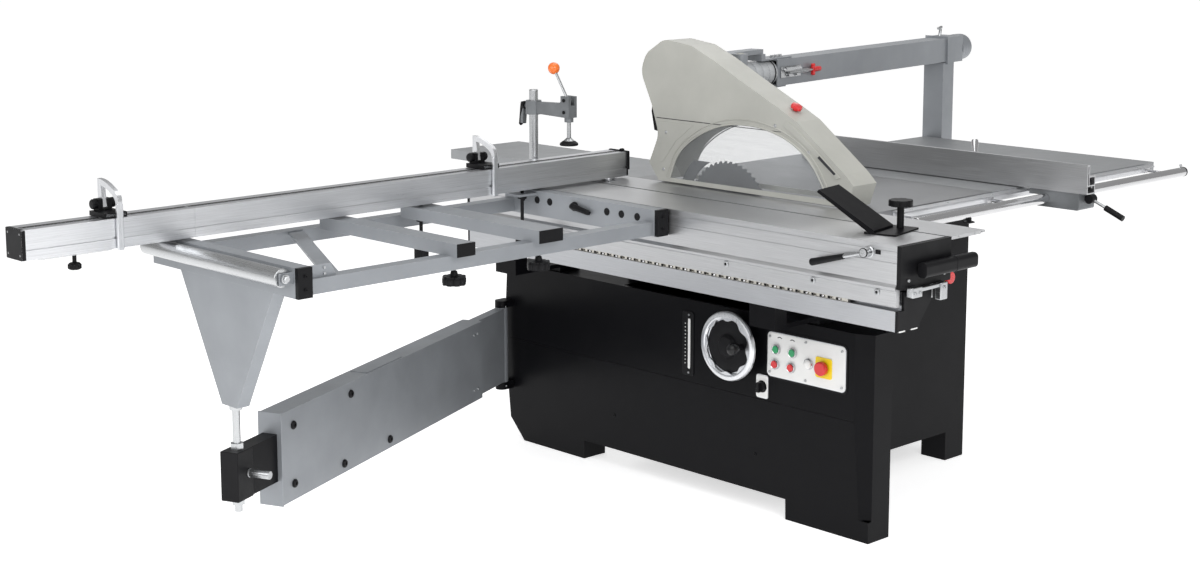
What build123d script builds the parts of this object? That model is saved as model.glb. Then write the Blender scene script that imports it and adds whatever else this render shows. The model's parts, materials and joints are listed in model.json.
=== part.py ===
"""Sliding-table panel saw, modelled as an assembly of separate pieces.

Positions are written from one datum corner: x runs right from the sliding table's left face,
y runs away from the operator from its front end, and z is height above the table surface.
at() moves a position to the model's frame, whose origin is on the floor under the middle.
"""
from build123d import *
import os
from math import atan2, cos, degrees, hypot, pi, radians, sin

os.makedirs("parts", exist_ok=True)

# ---------------------------------------------------------------- overall sizes, mm
TABLE_HEIGHT = 864.0        # floor to table surface
SLIDE_LENGTH = 1600.0       # sliding table and its base rail
SLIDE_WIDTH = 345.0         # sliding table
BLADE_X = 365.0             # blade plane
BLADE_Y = 885.0             # blade axis
BLADE_RADIUS = 152.5        # 305 mm saw blade
BLADE_RISE = 82.0           # how far the blade stands above the table at rest
CLEAR = 0.3                 # gap between pieces that move past each other
FIT = 0.05                  # radial clearance of a shaft in its bearing
SHEET = 3.0                 # sheet-metal wall

# ---------------------------------------------------------------- sliding table and base rail
SLIDE_BOX = 203.0           # width of the hollow part of the sliding table
SLIDE_DEPTH = 105.0         # depth of the hollow part
SLIDE_SKIN = 12.0           # thickness of its top
SKIRT = 14.0                # thickness of the side skirt
SKIRT_FOOT = -153.0         # lower edge of the side skirt
RAIL_SHELF = -162.0         # upper face of the base rail's shelf
RAIL_TOP = -117.0
RAIL_FOOT = -213.0
RAIL_RIGHT = 131.0
T_SLOT_X = 195.0
T_SLOT = 9.0
SLIDE_CAP = 12.0            # thickness of the sliding table's end caps
RAIL_CAP = 8.0
HANDLE_REACH = 45.0         # how far the push handle stands in front of the sliding table
HANDLE_RIGHT = 272.0

# ---------------------------------------------------------------- cabinet
WING_LEFT = 212.0           # long left part that carries the base rail
WING_RIGHT = 309.0
WING_FRONT = 242.0
WING_BACK = 1675.0
WING_TOP = -300.0
SEAM = -538.0               # fold line across the left face
PLINTH = 58.0               # foot height under the wing
FOLD = 9.0                  # how far the lower face leans in
BODY_RIGHT = 1086.0
BODY_FRONT = 562.0
BODY_FOOT = -776.0
FOOT_WIDTH = 89.0
SOLE = 6.0

# ---------------------------------------------------------------- fixed tables
TABLE_LEFT = SLIDE_WIDTH + 2.0
TABLE_SPLIT = 880.0         # joint between the cast table and its extension
TABLE_RIGHT = 1757.0
TABLE_FRONT = 340.0
TABLE_BACK = 1235.0
TABLE_SKIN = 12.0
TABLE_EDGE = 46.0           # depth of the cast table's rim
WING_EDGE = 29.0            # depth of the folded extension's skirt
OUTFEED_RIGHT = 650.0
OUTFEED_BACK = 2112.0
SLOT_LEFT = 355.0           # blade slot in the cast table
SLOT_RIGHT = 371.0
SLOT_FRONT = 588.0
SLOT_BACK = 1110.0

# ---------------------------------------------------------------- trunnions of the saw unit
TRUNNION_RADIUS = 190.0
PIN_RADIUS = 8.0
PIN_ANGLES = (-20.0, -50.0)
TILT_RANGE = 45.0
TRUNNION_YS = ((580.0, 592.0), (1152.0, 1164.0))

# ---------------------------------------------------------------- outrigger
TUBE = 40.0                 # width of the outrigger's tubes
TUBE_WALL = 3.0
FRAME_FRONT = 778.0
FRAME_BACK = 1388.0
FRAME_LEFT = -1211.0        # outer face of the end tube
FRAME_RIGHT = -5.0          # face next to the sliding table
SIDE_DEPTH = 72.0           # depth of the two side tubes
BEAM_DEPTH = 36.0           # depth of the cross beams
BAR_DEPTH = 33.0            # depth of the support bars on the beams
LEG_Y = 1068.0
LEG_FOOT = -380.0
ROLLER_RADIUS = 22.0

# ---------------------------------------------------------------- crosscut fence
FENCE_FRONT = 1240.0
FENCE_DEEP = 76.0
FENCE_FOOT = 8.3
FENCE_HIGH = 72.0
FENCE_RIGHT = 305.0
FENCE_JOINT = -1180.0       # where the telescopic end starts
FENCE_REACH = 1640.0        # how far it reaches left of the sliding table
FENCE_WALL = 5.0
FENCE_PIVOT_X = 262.0
FENCE_PIVOT_Y = 1278.0
STOP_PLACES = {"left": -1390.0, "right": -216.0}

# ---------------------------------------------------------------- swing arm
PIVOT_X = 180.0
PIVOT_Y = 1668.0
ARM_TOP = -438.0
ARM_FOOT = -675.0
ARM_WIDE = 64.0
ARM_HINGE = 205.0           # from the hinge pin to the box
ARM_PIN = 10.0
INNER_TOP = -490.0
INNER_FOOT = -612.0
INNER_WIDE = 42.0
ROD_RADIUS = 9.5

# ---------------------------------------------------------------- rip fence
RIP_LEFT = 1000.0
RIP_WIDE = 41.0
RIP_FRONT = 107.0
RIP_LONG = 1043.0
RIP_HIGH = 84.0
RIP_FOOT = 3.3
RAIL_Y = 245.0
RAIL_Z = -22.0
RAIL_RADIUS = 14.5
RAIL_LEFT_END = 400.0
RAIL_RIGHT_END = 1765.0

# ---------------------------------------------------------------- overhead arm and guard
COLUMN_X = 1806.0
COLUMN_Y = 1217.0
COLUMN = 75.0
COLUMN_FOOT = -200.0
OVER_YAW = 8.0              # the arm points a little towards the operator
OVER_FOOT = 261.0
OVER_HIGH = 80.0
OVER_WIDE = 76.0
OVER_LONG = 1085.0
SLEEVE_LONG = 90.0          # sleeve behind the column
SLEEVE_FRONT = 18.0
SLEEVE_WALL = 4.0
PORT_RADIUS = 45.0
PORT_LONG = 62.0
HANGER_Z = 362.0            # beam that carries the guard
LIFT_ALONG = 1322.0         # the guard's lifting rod, along the arm from the column
LIFT_ACROSS = 62.0          # and in front of the arm's axis
LIFT_RADIUS = 11.0
DUCT_RADIUS = 43.0
DUCT_Y = 1070.0
DUCT_Z = 301.0
GUARD_LEFT = 330.0
GUARD_RIGHT = 429.0
GUARD_WALL = 3.0
GUARD_FOOT = 5.0
GUARD_TOP = 420.0

# ---------------------------------------------------------------- controls
WHEEL_Y = 700.0
WHEEL_Z = -395.0
WHEEL_RADIUS = 98.0
SHAFT = 10.0
BUTTON = 10.0               # radius of a push button
BUTTON_PLACES = {
    "start_main": (558.0, -386.0),
    "start_scoring": (500.0, -386.0),
    "stop_main": (562.0, -428.0),
    "stop_scoring": (505.0, -428.0),
}
STOP_SIDE = (392.0, -409.0)
STOP_FRONT = (970.0, -291.0)
SWITCH = (610.0, -500.0)

# ---------------------------------------------------------------- frame of the whole model
RIGHT_REACH = (
    COLUMN_X + (SLEEVE_LONG + PORT_LONG) * cos(radians(OVER_YAW)) + PORT_RADIUS * sin(radians(OVER_YAW))
)
SHIFT_X = (FENCE_REACH - RIGHT_REACH) / 2
SHIFT_Y = (HANDLE_REACH - OUTFEED_BACK) / 2


def at(x, y, z):
    """A point of the model's frame, from its place beside the datum corner."""
    return (SHIFT_X + x, SHIFT_Y + y, TABLE_HEIGHT + z)


def plan(z):
    """Horizontal drawing plane at height z: draws x and y."""
    return Plane(origin=at(0, 0, z))


def front(y):
    """Upright plane at distance y, seen from the operator: draws x and z. Extrude backwards for -."""
    return Plane(origin=at(0, y, 0), x_dir=(1, 0, 0), z_dir=(0, -1, 0))


def side(x):
    """Upright plane at x: draws y and z, and extrudes to the right."""
    return Plane(origin=at(x, 0, 0), x_dir=(0, 1, 0), z_dir=(1, 0, 0))


def block(xs, ys, zs, mode=Mode.ADD):
    """A box between two values on each axis."""
    spans = (xs, ys, zs)
    with Locations(at(*[(low + high) / 2 for low, high in spans])):
        Box(*[high - low for low, high in spans], mode=mode)


def rod(start, direction, length, radius, mode=Mode.ADD):
    """A round bar from a start point along a direction."""
    with BuildSketch(Plane(origin=at(*start), z_dir=direction)) as disc:
        Circle(radius)
    extrude(disc.sketch, amount=length, mode=mode)


def outline(plane, points, amount, mode=Mode.ADD):
    """A closed outline of straight edges, extruded."""
    with BuildSketch(plane) as shape:
        with BuildLine():
            Polyline(*points, close=True)
        make_face()
    extrude(shape.sketch, amount=amount, mode=mode)


def tube(xs, ys, zs, axis, wall=TUBE_WALL):
    """A rectangular tube that is open along one axis."""
    block(xs, ys, zs)
    inner = [
        (low, high) if name == axis else (low + wall, high - wall)
        for name, (low, high) in zip("xyz", (xs, ys, zs))
    ]
    block(*inner, mode=Mode.SUBTRACT)


def over_plane(z):
    """Plane along the overhead arm: its x runs from the column towards the guard."""
    yaw = radians(OVER_YAW)
    return Plane(origin=at(COLUMN_X, COLUMN_Y, z), x_dir=(-cos(yaw), -sin(yaw), 0), z_dir=(0, 0, 1))


def over_box(along, across, zs, mode=Mode.ADD):
    """A box in the overhead arm's own directions."""
    with BuildSketch(over_plane(zs[0])) as section:
        with Locations(((along[0] + along[1]) / 2, (across[0] + across[1]) / 2)):
            Rectangle(along[1] - along[0], across[1] - across[0])
    extrude(section.sketch, amount=zs[1] - zs[0], mode=mode)


def over_point(along, across, z):
    """A point in the overhead arm's own directions, beside the datum corner."""
    yaw = radians(OVER_YAW)
    x = COLUMN_X - along * cos(yaw) + across * sin(yaw)
    y = COLUMN_Y - along * sin(yaw) - across * cos(yaw)
    return (x, y, z)


def save(piece, name):
    """Label a finished piece and write it."""
    piece.part.label = name
    export_step(piece.part, f"parts/{name}.step")


YAW_AXIS = (-cos(radians(OVER_YAW)), -sin(radians(OVER_YAW)), 0)

# ================================================================ fixed machine
FLOOR = -TABLE_HEIGHT
BODY_TOP = -TABLE_EDGE
WINDOW = (568.0, 1168.0)    # opening through which the tilting unit swings

with BuildPart() as cabinet:
    wing_side = [
        (WING_FRONT, FLOOR), (530, FLOOR), (530, FLOOR + PLINTH), (1335, FLOOR + PLINTH), (1335, FLOOR),
        (1609, FLOOR), (WING_BACK - 4, FLOOR + 67), (WING_BACK + 15, SEAM), (WING_BACK, WING_TOP),
        (WING_FRONT, WING_TOP),
    ]
    outline(side(WING_LEFT), wing_side, WING_RIGHT - WING_LEFT)
    lean = [(WING_LEFT, SEAM), (WING_LEFT, FLOOR), (WING_LEFT + FOLD, FLOOR)]
    outline(front(WING_FRONT), lean, -(WING_BACK - WING_FRONT + 20), mode=Mode.SUBTRACT)
    corner = [(WING_LEFT, WING_FRONT), (WING_LEFT + 22, WING_FRONT), (WING_LEFT, WING_FRONT + 48)]
    outline(plan(FLOOR + PLINTH), corner, WING_TOP - FLOOR - PLINTH, mode=Mode.SUBTRACT)
    seam_ys = (WING_FRONT, WING_BACK + 20)
    block((WING_LEFT, WING_LEFT + 1.5), seam_ys, (SEAM - 1.5, SEAM), mode=Mode.SUBTRACT)
    block((WING_RIGHT, BODY_RIGHT), (BODY_FRONT, TABLE_BACK), (BODY_FOOT, BODY_TOP))
    for foot_front in (BODY_FRONT, TABLE_BACK - FOOT_WIDTH):
        foot_ys = (foot_front, foot_front + FOOT_WIDTH)
        block((BODY_RIGHT - FOOT_WIDTH, BODY_RIGHT), foot_ys, (FLOOR, BODY_FOOT))
        hollow_ys = (foot_front + SHEET, foot_front + FOOT_WIDTH - SHEET)
        hollow_xs = (BODY_RIGHT - FOOT_WIDTH + SHEET, BODY_RIGHT - SHEET)
        block(hollow_xs, hollow_ys, (FLOOR + SOLE, BODY_FOOT + SHEET), mode=Mode.SUBTRACT)
    wing_in = WING_LEFT + FOLD + SHEET
    block((wing_in, WING_RIGHT - SHEET), (WING_FRONT + 25, WING_BACK - 8),
          (FLOOR + PLINTH + SHEET, WING_TOP - SHEET), mode=Mode.SUBTRACT)
    for foot_front, foot_back in ((WING_FRONT + SHEET, 530 - SHEET), (1335 + SHEET, 1600)):
        block((wing_in, WING_RIGHT - SHEET), (foot_front, foot_back),
              (FLOOR + SOLE, FLOOR + PLINTH + SHEET), mode=Mode.SUBTRACT)
    block((WING_RIGHT - SHEET, BODY_RIGHT - SHEET), (BODY_FRONT + SHEET, TABLE_BACK - SHEET),
          (BODY_FOOT + SHEET, BODY_TOP), mode=Mode.SUBTRACT)
    block((WING_RIGHT - SHEET, WING_RIGHT), (BODY_FRONT + SHEET, TABLE_BACK - SHEET),
          (WING_TOP, BODY_TOP), mode=Mode.ADD)
    block((wing_in, WING_RIGHT + 1), WINDOW, (WING_TOP - SHEET - 1, BODY_TOP), mode=Mode.SUBTRACT)
    rod((WING_LEFT - 1, WHEEL_Y, WHEEL_Z), (1, 0, 0), 30, SHAFT + CLEAR, mode=Mode.SUBTRACT)
    block((WING_LEFT - 1, WING_LEFT + 30), (372, 580), (-446, -366), mode=Mode.SUBTRACT)
    rod((WING_LEFT - 1, *SWITCH), (1, 0, 0), 30, 8, mode=Mode.SUBTRACT)
    rod((STOP_FRONT[0], BODY_FRONT - 1, STOP_FRONT[1]), (0, 1, 0), 10, 9 + CLEAR, mode=Mode.SUBTRACT)
    block((TABLE_RIGHT, TABLE_RIGHT + 22), (1150, TABLE_BACK), (-170, -4))
    block((TABLE_RIGHT - 300, TABLE_RIGHT + 6), (1130, TABLE_BACK - 20), (-176, -170))
    block((BODY_RIGHT, TABLE_RIGHT - 300), (1130, TABLE_BACK - 20), (-190, -170))
    over_box((-COLUMN / 2, COLUMN / 2), (-COLUMN / 2, COLUMN / 2), (COLUMN_FOOT, 0), mode=Mode.SUBTRACT)
    for lug_low, lug_high in ((ARM_TOP + 1, ARM_TOP + 22), (ARM_FOOT - 24, ARM_FOOT - 1)):
        with BuildSketch(plan(lug_low)):
            with Locations((PIVOT_X, PIVOT_Y)):
                Circle(20)
            with Locations(((PIVOT_X + WING_LEFT) / 2, PIVOT_Y)):
                Rectangle(WING_LEFT - PIVOT_X, 40)
        extrude(amount=lug_high - lug_low)
    rod((PIVOT_X, PIVOT_Y, ARM_FOOT - 24), (0, 0, 1), ARM_TOP - ARM_FOOT + 46, ARM_PIN)
save(cabinet, "cabinet")

with BuildPart() as main_table:
    table_xs = (TABLE_LEFT, TABLE_SPLIT)
    table_ys = (TABLE_FRONT, TABLE_BACK)
    block(table_xs, table_ys, (-TABLE_EDGE, 0))
    rim = 16.0
    block((TABLE_LEFT - 1, TABLE_SPLIT - rim), (BODY_FRONT + rim, TABLE_BACK - rim),
          (-TABLE_EDGE, -TABLE_SKIN), mode=Mode.SUBTRACT)
    block((TABLE_LEFT + rim, TABLE_SPLIT - rim), (TABLE_FRONT + rim, BODY_FRONT - rim),
          (-TABLE_EDGE, -TABLE_SKIN), mode=Mode.SUBTRACT)
    block((SLOT_LEFT, SLOT_RIGHT), (SLOT_FRONT, SLOT_BACK), (-TABLE_SKIN, 0), mode=Mode.SUBTRACT)
    block((TABLE_LEFT - 1, SLOT_LEFT), (SLOT_FRONT, SLOT_BACK), (-TABLE_SKIN, -4), mode=Mode.SUBTRACT)
    chamfer(main_table.edges().group_by(Axis.Z)[-1], 1)
    for trunnion_front, trunnion_back in TRUNNION_YS:
        plate = [(318, -TABLE_SKIN), (590, -TABLE_SKIN), (590, -60), (520, -190), (460, -218), (318, -218)]
        outline(front(trunnion_front), plate, trunnion_front - trunnion_back)
        half_slot = PIN_RADIUS + CLEAR
        first, last = PIN_ANGLES[0] + 2, PIN_ANGLES[1] - TILT_RANGE - 2
        outer, inner = TRUNNION_RADIUS + half_slot, TRUNNION_RADIUS - half_slot
        ends = [(cos(radians(first)), sin(radians(first))), (cos(radians(last)), sin(radians(last)))]
        with BuildSketch(front(trunnion_front)):
            with BuildLine():
                CenterArc((BLADE_X, 0), outer, first, last - first)
                CenterArc((BLADE_X, 0), inner, first, last - first)
                for run, climb in ends:
                    Line((BLADE_X + inner * run, inner * climb), (BLADE_X + outer * run, outer * climb))
            make_face()
            with Locations(*[(BLADE_X + TRUNNION_RADIUS * run, TRUNNION_RADIUS * climb) for run, climb in ends]):
                Circle(half_slot)
        extrude(amount=trunnion_front - trunnion_back, mode=Mode.SUBTRACT)
save(main_table, "main_table")

with BuildPart() as extension_table:
    wing_xs = (TABLE_SPLIT, TABLE_RIGHT)
    block(wing_xs, table_ys, (-WING_EDGE, 0))
    block((TABLE_SPLIT + SHEET, TABLE_RIGHT - SHEET), (TABLE_FRONT + SHEET, TABLE_BACK - SHEET),
          (-WING_EDGE, -SHEET), mode=Mode.SUBTRACT)
    for rib in (1, 2, 3):
        rib_x = TABLE_SPLIT + rib * (TABLE_RIGHT - TABLE_SPLIT) / 4
        block((rib_x - 15, rib_x + 15), (TABLE_FRONT + SHEET, TABLE_BACK - SHEET), (-WING_EDGE + 4, -SHEET))
    fillet(extension_table.edges().filter_by(Axis.Z).group_by(Axis.X)[-1], 6)
save(extension_table, "extension_table")

with BuildPart() as outfeed_table:
    block((TABLE_LEFT, OUTFEED_RIGHT), (TABLE_BACK, OUTFEED_BACK), (-30, 0))
    block((TABLE_LEFT + SHEET, OUTFEED_RIGHT - SHEET), (TABLE_BACK + SHEET, OUTFEED_BACK - SHEET),
          (-30, -SHEET), mode=Mode.SUBTRACT)
    block((TABLE_LEFT + 130, TABLE_LEFT + 160), (TABLE_BACK + SHEET, OUTFEED_BACK - SHEET), (-26, -SHEET))
    fillet(outfeed_table.edges().filter_by(Axis.Z).group_by(Axis.Y)[-1], 6)
save(outfeed_table, "outfeed_table")

RAIL_OUTLINE = [
    (22, RAIL_TOP), (RAIL_RIGHT, RAIL_TOP), (RAIL_RIGHT, -150), (86, -203), (86, RAIL_FOOT),
    (-2, RAIL_FOOT), (-2, RAIL_SHELF), (22, RAIL_SHELF),
]
with BuildPart() as base_rail:
    outline(front(0), RAIL_OUTLINE, -SLIDE_LENGTH)
    hollow = [(30, RAIL_TOP - 8), (123, RAIL_TOP - 8), (123, -148), (82, -197), (30, -197)]
    outline(front(0), hollow, -SLIDE_LENGTH, mode=Mode.SUBTRACT)
save(base_rail, "base_rail")

with BuildPart() as rail_end_caps:
    for cap_y in (-RAIL_CAP, SLIDE_LENGTH):
        outline(front(cap_y), RAIL_OUTLINE, -RAIL_CAP)
save(rail_end_caps, "rail_end_caps")

with BuildPart() as rail_supports:
    for support_y in (420.0, 1440.0):
        block((WING_LEFT + 8, WING_RIGHT - 8), (support_y, support_y + 90), (WING_TOP, WING_TOP + 14))
        block((40, WING_RIGHT - 8), (support_y, support_y + 90), (WING_TOP + 14, WING_TOP + 26))
        block((40, 86), (support_y, support_y + 90), (WING_TOP + 26, RAIL_FOOT))
save(rail_supports, "rail_supports")

with BuildPart() as rip_rail:
    rod((RAIL_LEFT_END, RAIL_Y, RAIL_Z), (1, 0, 0), RAIL_RIGHT_END - RAIL_LEFT_END, RAIL_RADIUS)
    chamfer(rip_rail.edges(), 1.5)
    for stud_x in (450.0, 860.0, 1280.0, 1700.0):
        rod((stud_x, RAIL_Y + RAIL_RADIUS, RAIL_Z), (0, 1, 0), TABLE_FRONT - 3 - RAIL_Y - RAIL_RADIUS, 5)
        block((stud_x - 14, stud_x + 14), (TABLE_FRONT - 9, TABLE_FRONT - 3), (RAIL_Z - 6, RAIL_Z + 14))
save(rip_rail, "rip_rail")

with BuildPart() as scale_rail:
    block((420, 1700), (306, TABLE_FRONT), (-8, -3))
    block((420, 1700), (TABLE_FRONT - 3, TABLE_FRONT), (-28, -8))
save(scale_rail, "scale_rail")

with BuildPart() as control_plate:
    panel_ys = (318.0, 593.0)
    panel_zs = (-465.0, -340.0)
    with BuildSketch(side(WING_LEFT - SHEET)):
        with Locations((sum(panel_ys) / 2, sum(panel_zs) / 2)):
            RectangleRounded(panel_ys[1] - panel_ys[0], panel_zs[1] - panel_zs[0], 14)
        with Locations(SWITCH):
            RectangleRounded(44, 66, 8)
        with Locations(*BUTTON_PLACES.values()):
            Circle(BUTTON + CLEAR, mode=Mode.SUBTRACT)
        with Locations(STOP_SIDE):
            Circle(9 + CLEAR, mode=Mode.SUBTRACT)
        with Locations(SWITCH):
            Circle(6 + CLEAR, mode=Mode.SUBTRACT)
    extrude(amount=SHEET)
    with BuildSketch(side(WING_LEFT - SHEET - 6)):
        with Locations(*BUTTON_PLACES.values()):
            Circle(BUTTON + 4)
            Circle(BUTTON + CLEAR, mode=Mode.SUBTRACT)
    extrude(amount=6)
save(control_plate, "control_plate")

with BuildPart() as guard_column:
    over_box((-COLUMN / 2, COLUMN / 2), (-COLUMN / 2, COLUMN / 2), (COLUMN_FOOT, OVER_FOOT - SLEEVE_WALL))
    over_box((4 - COLUMN / 2, COLUMN / 2 - 4), (4 - COLUMN / 2, COLUMN / 2 - 4),
             (COLUMN_FOOT, OVER_FOOT - SLEEVE_WALL - 4), mode=Mode.SUBTRACT)
    sleeve_half = OVER_WIDE / 2 + SLEEVE_WALL + CLEAR
    over_box((-SLEEVE_LONG, SLEEVE_FRONT), (-sleeve_half, sleeve_half),
             (OVER_FOOT - SLEEVE_WALL, OVER_FOOT + OVER_HIGH + SLEEVE_WALL + CLEAR))
    over_box((-SLEEVE_LONG + 5, SLEEVE_FRONT), (-OVER_WIDE / 2 - CLEAR, OVER_WIDE / 2 + CLEAR),
             (OVER_FOOT - CLEAR, OVER_FOOT + OVER_HIGH + CLEAR), mode=Mode.SUBTRACT)
    port_centre = OVER_FOOT + OVER_HIGH / 2
    rod(over_point(-SLEEVE_LONG, 0, port_centre), tuple(-v for v in YAW_AXIS), PORT_LONG, PORT_RADIUS)
    rod(over_point(-SLEEVE_LONG + 5, 0, port_centre), tuple(-v for v in YAW_AXIS), PORT_LONG, PORT_RADIUS - 4,
        mode=Mode.SUBTRACT)
    rod(over_point(-SLEEVE_LONG + 1, 0, port_centre), tuple(-v for v in YAW_AXIS), PORT_LONG, PORT_RADIUS - 9,
        mode=Mode.SUBTRACT)
save(guard_column, "guard_column")

# ================================================================ sliding table
with BuildPart() as roller_cage:
    block((2, 12), (150, 1450), (RAIL_SHELF + CLEAR, SKIRT_FOOT - CLEAR))
    window_count = 48
    for index in range(window_count):
        window_y = 170 + index * 26.5
        block((1, 6), (window_y, window_y + 14), (RAIL_SHELF + 2, SKIRT_FOOT - 2), mode=Mode.SUBTRACT)
save(roller_cage, "roller_cage")

with BuildPart() as sliding_table:
    block((0, SLIDE_WIDTH), (0, SLIDE_LENGTH), (-SLIDE_SKIN, 0))
    block((SLIDE_BOX, SLIDE_WIDTH), (-SLIDE_CAP, 0), (-SLIDE_SKIN / 2, 0))
    block((0, SLIDE_BOX), (0, SLIDE_LENGTH), (-SLIDE_DEPTH, -SLIDE_SKIN))
    block((0, SKIRT), (0, SLIDE_LENGTH), (SKIRT_FOOT, -SLIDE_DEPTH))
    flare = [(0, -96), (-6, -104), (-6, -110), (0, -114)]
    outline(front(0), flare, -SLIDE_LENGTH)
    block((137, 147), (0, SLIDE_LENGTH), (-148, -SLIDE_DEPTH))
    block((SKIRT, SLIDE_BOX - 8), (0, SLIDE_LENGTH), (-SLIDE_DEPTH + 7, -SLIDE_SKIN - 6), mode=Mode.SUBTRACT)
    slot_xs = (T_SLOT_X - T_SLOT / 2, T_SLOT_X + T_SLOT / 2)
    block(slot_xs, (-SLIDE_CAP, SLIDE_LENGTH), (-10, 0), mode=Mode.SUBTRACT)
    block((T_SLOT_X - 8, T_SLOT_X + 8), (0, SLIDE_LENGTH), (-10, -5), mode=Mode.SUBTRACT)
    rod((FENCE_PIVOT_X, FENCE_PIVOT_Y, -20), (0, 0, 1), 21, 8 + FIT, mode=Mode.SUBTRACT)
    for groove_z in (-15, -43):
        block((0, 2), (0, SLIDE_LENGTH), (groove_z - 1.5, groove_z + 1.5), mode=Mode.SUBTRACT)
save(sliding_table, "sliding_table")

with BuildPart() as slide_end_caps:
    for cap_y in (-SLIDE_CAP, SLIDE_LENGTH):
        block((0, SLIDE_BOX), (cap_y, cap_y + SLIDE_CAP), (-SLIDE_DEPTH - 4, -1))
        fillet(slide_end_caps.edges().filter_by(Axis.Y).group_by(Axis.Z)[0], 4)
    with BuildSketch(side(60)):
        with Locations((-HANDLE_REACH + 14, -64)):
            RectangleRounded(28, 38, 11)
    extrude(amount=HANDLE_RIGHT - 60)
    for post_x in (90, 180):
        rod((post_x, -HANDLE_REACH + 20, -64), (0, 1, 0), HANDLE_REACH - 20 - SLIDE_CAP, 9)
save(slide_end_caps, "slide_end_caps")

SHOE_YAW = 12.0
SHOE_Y = 141.0
with BuildPart() as edging_shoe:
    shoe = Plane(origin=at(T_SLOT_X, SHOE_Y, 0), x_dir=(cos(radians(SHOE_YAW)), sin(radians(SHOE_YAW)), 0))
    with BuildSketch(shoe):
        with Locations((-40, 5)):
            RectangleRounded(140, 88, 6)
        Circle(4.4, mode=Mode.SUBTRACT)
    extrude(amount=4)
    with BuildSketch(Plane(origin=shoe.origin, x_dir=shoe.y_dir, z_dir=shoe.x_dir)):
        with BuildLine():
            Polyline((20, 4), (36, 4), (182, 94), (176, 100), (20, 10), close=True)
        make_face()
    extrude(amount=-110)
save(edging_shoe, "edging_shoe")

with BuildPart() as shoe_knob:
    rod((T_SLOT_X, SHOE_Y, -6), (0, 0, 1), 12, 4)
    rod((T_SLOT_X, SHOE_Y, 4 + CLEAR), (0, 0, 1), 58, 9)
    rod((T_SLOT_X, SHOE_Y, 60), (0, 0, 1), 16, 31)
    with Locations(at(T_SLOT_X, SHOE_Y, 68)):
        with PolarLocations(34, 7):
            Cylinder(6, 20, mode=Mode.SUBTRACT)
    fillet(shoe_knob.edges().group_by(Axis.Z)[-1], 3)
save(shoe_knob, "shoe_knob")

LOCK_Y = 84.0
LOCK_Z = -25.0
LOCK_X = -17.0
with BuildPart() as slide_lock_lever:
    rod((-CLEAR, LOCK_Y, LOCK_Z), (-1, 0, 0), 26, 12)
    lean_down = radians(15.5)
    along = (0, cos(lean_down), -sin(lean_down))
    rod((LOCK_X, LOCK_Y, LOCK_Z), along, 76, 4.5)
    grip_start = (LOCK_X, LOCK_Y + 70 * along[1], LOCK_Z + 70 * along[2])
    with BuildSketch(Plane(origin=at(*grip_start), z_dir=along)):
        Circle(7)
    with BuildSketch(Plane(origin=at(*grip_start), z_dir=along).offset(108)):
        Circle(9.5)
    loft()
    fillet(slide_lock_lever.edges().sort_by(Axis.Y)[-1], 4)
save(slide_lock_lever, "slide_lock_lever")

# ================================================================ outrigger on the sliding table
BEAM_TOP = -BAR_DEPTH
with BuildPart() as outrigger_frame:
    frame_ys = (FRAME_FRONT, FRAME_BACK)
    tube((FRAME_LEFT, FRAME_LEFT + TUBE), frame_ys, (-SIDE_DEPTH, 0), "y")
    tube((FRAME_RIGHT - TUBE, FRAME_RIGHT), frame_ys, (-SIDE_DEPTH, 0), "y")
    beam_xs = (FRAME_LEFT + TUBE, FRAME_RIGHT - TUBE)
    for beam_front in (FRAME_FRONT + 2, FRAME_BACK - TUBE - 2):
        tube(beam_xs, (beam_front, beam_front + TUBE), (BEAM_TOP - BEAM_DEPTH, BEAM_TOP), "x")
    for pad_front in (FRAME_FRONT + 30, FRAME_BACK - 90):
        block((FRAME_RIGHT, 0), (pad_front, pad_front + 60), (-60, -20))
    brace = [(-830, FRAME_BACK - TUBE - 2), (-785, FRAME_BACK - TUBE - 2), (-1055, FRAME_FRONT + TUBE + 2),
             (-1100, FRAME_FRONT + TUBE + 2)]
    outline(plan(BEAM_TOP - 10), brace, 6)
    gusset = [(FRAME_LEFT + TUBE, BEAM_TOP), (FRAME_LEFT + TUBE + 85, BEAM_TOP),
              (FRAME_LEFT + TUBE + 70, -4), (FRAME_LEFT + TUBE, -4)]
    outline(front(FRAME_FRONT + 14), gusset, -5)
    block((FRAME_RIGHT - TUBE - 66, FRAME_RIGHT - TUBE), (1250, 1306), (-12, -6))
    rod((-76, 1278, -13), (0, 0, 1), 8, 6, mode=Mode.SUBTRACT)
    leg_top = 198.0
    leg_toe = 38.0
    leg_face = [(LEG_Y - leg_top, -SIDE_DEPTH), (LEG_Y + leg_top, -SIDE_DEPTH), (LEG_Y + leg_toe, LEG_FOOT + 12),
                (LEG_Y + leg_toe - 6, LEG_FOOT), (LEG_Y - leg_toe + 6, LEG_FOOT), (LEG_Y - leg_toe, LEG_FOOT + 12)]
    outline(side(FRAME_LEFT + 2), leg_face, TUBE - 4)
    core = [(LEG_Y - leg_top + 8, -SIDE_DEPTH - 4), (LEG_Y + leg_top - 8, -SIDE_DEPTH - 4),
            (LEG_Y + leg_toe - 8, LEG_FOOT + 14), (LEG_Y - leg_toe + 8, LEG_FOOT + 14)]
    outline(side(FRAME_LEFT + 5), core, TUBE - 10, mode=Mode.SUBTRACT)
    axle_x = FRAME_LEFT - ROLLER_RADIUS - 3
    for ear_y in (FRAME_FRONT + 8, FRAME_BACK - 12):
        block((axle_x - 12, FRAME_LEFT), (ear_y, ear_y + 4), (-ROLLER_RADIUS - 16, -ROLLER_RADIUS + 12))
        rod((axle_x, ear_y - 1, -ROLLER_RADIUS), (0, 1, 0), 6, 6 + FIT, mode=Mode.SUBTRACT)
save(outrigger_frame, "outrigger_frame")

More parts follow.
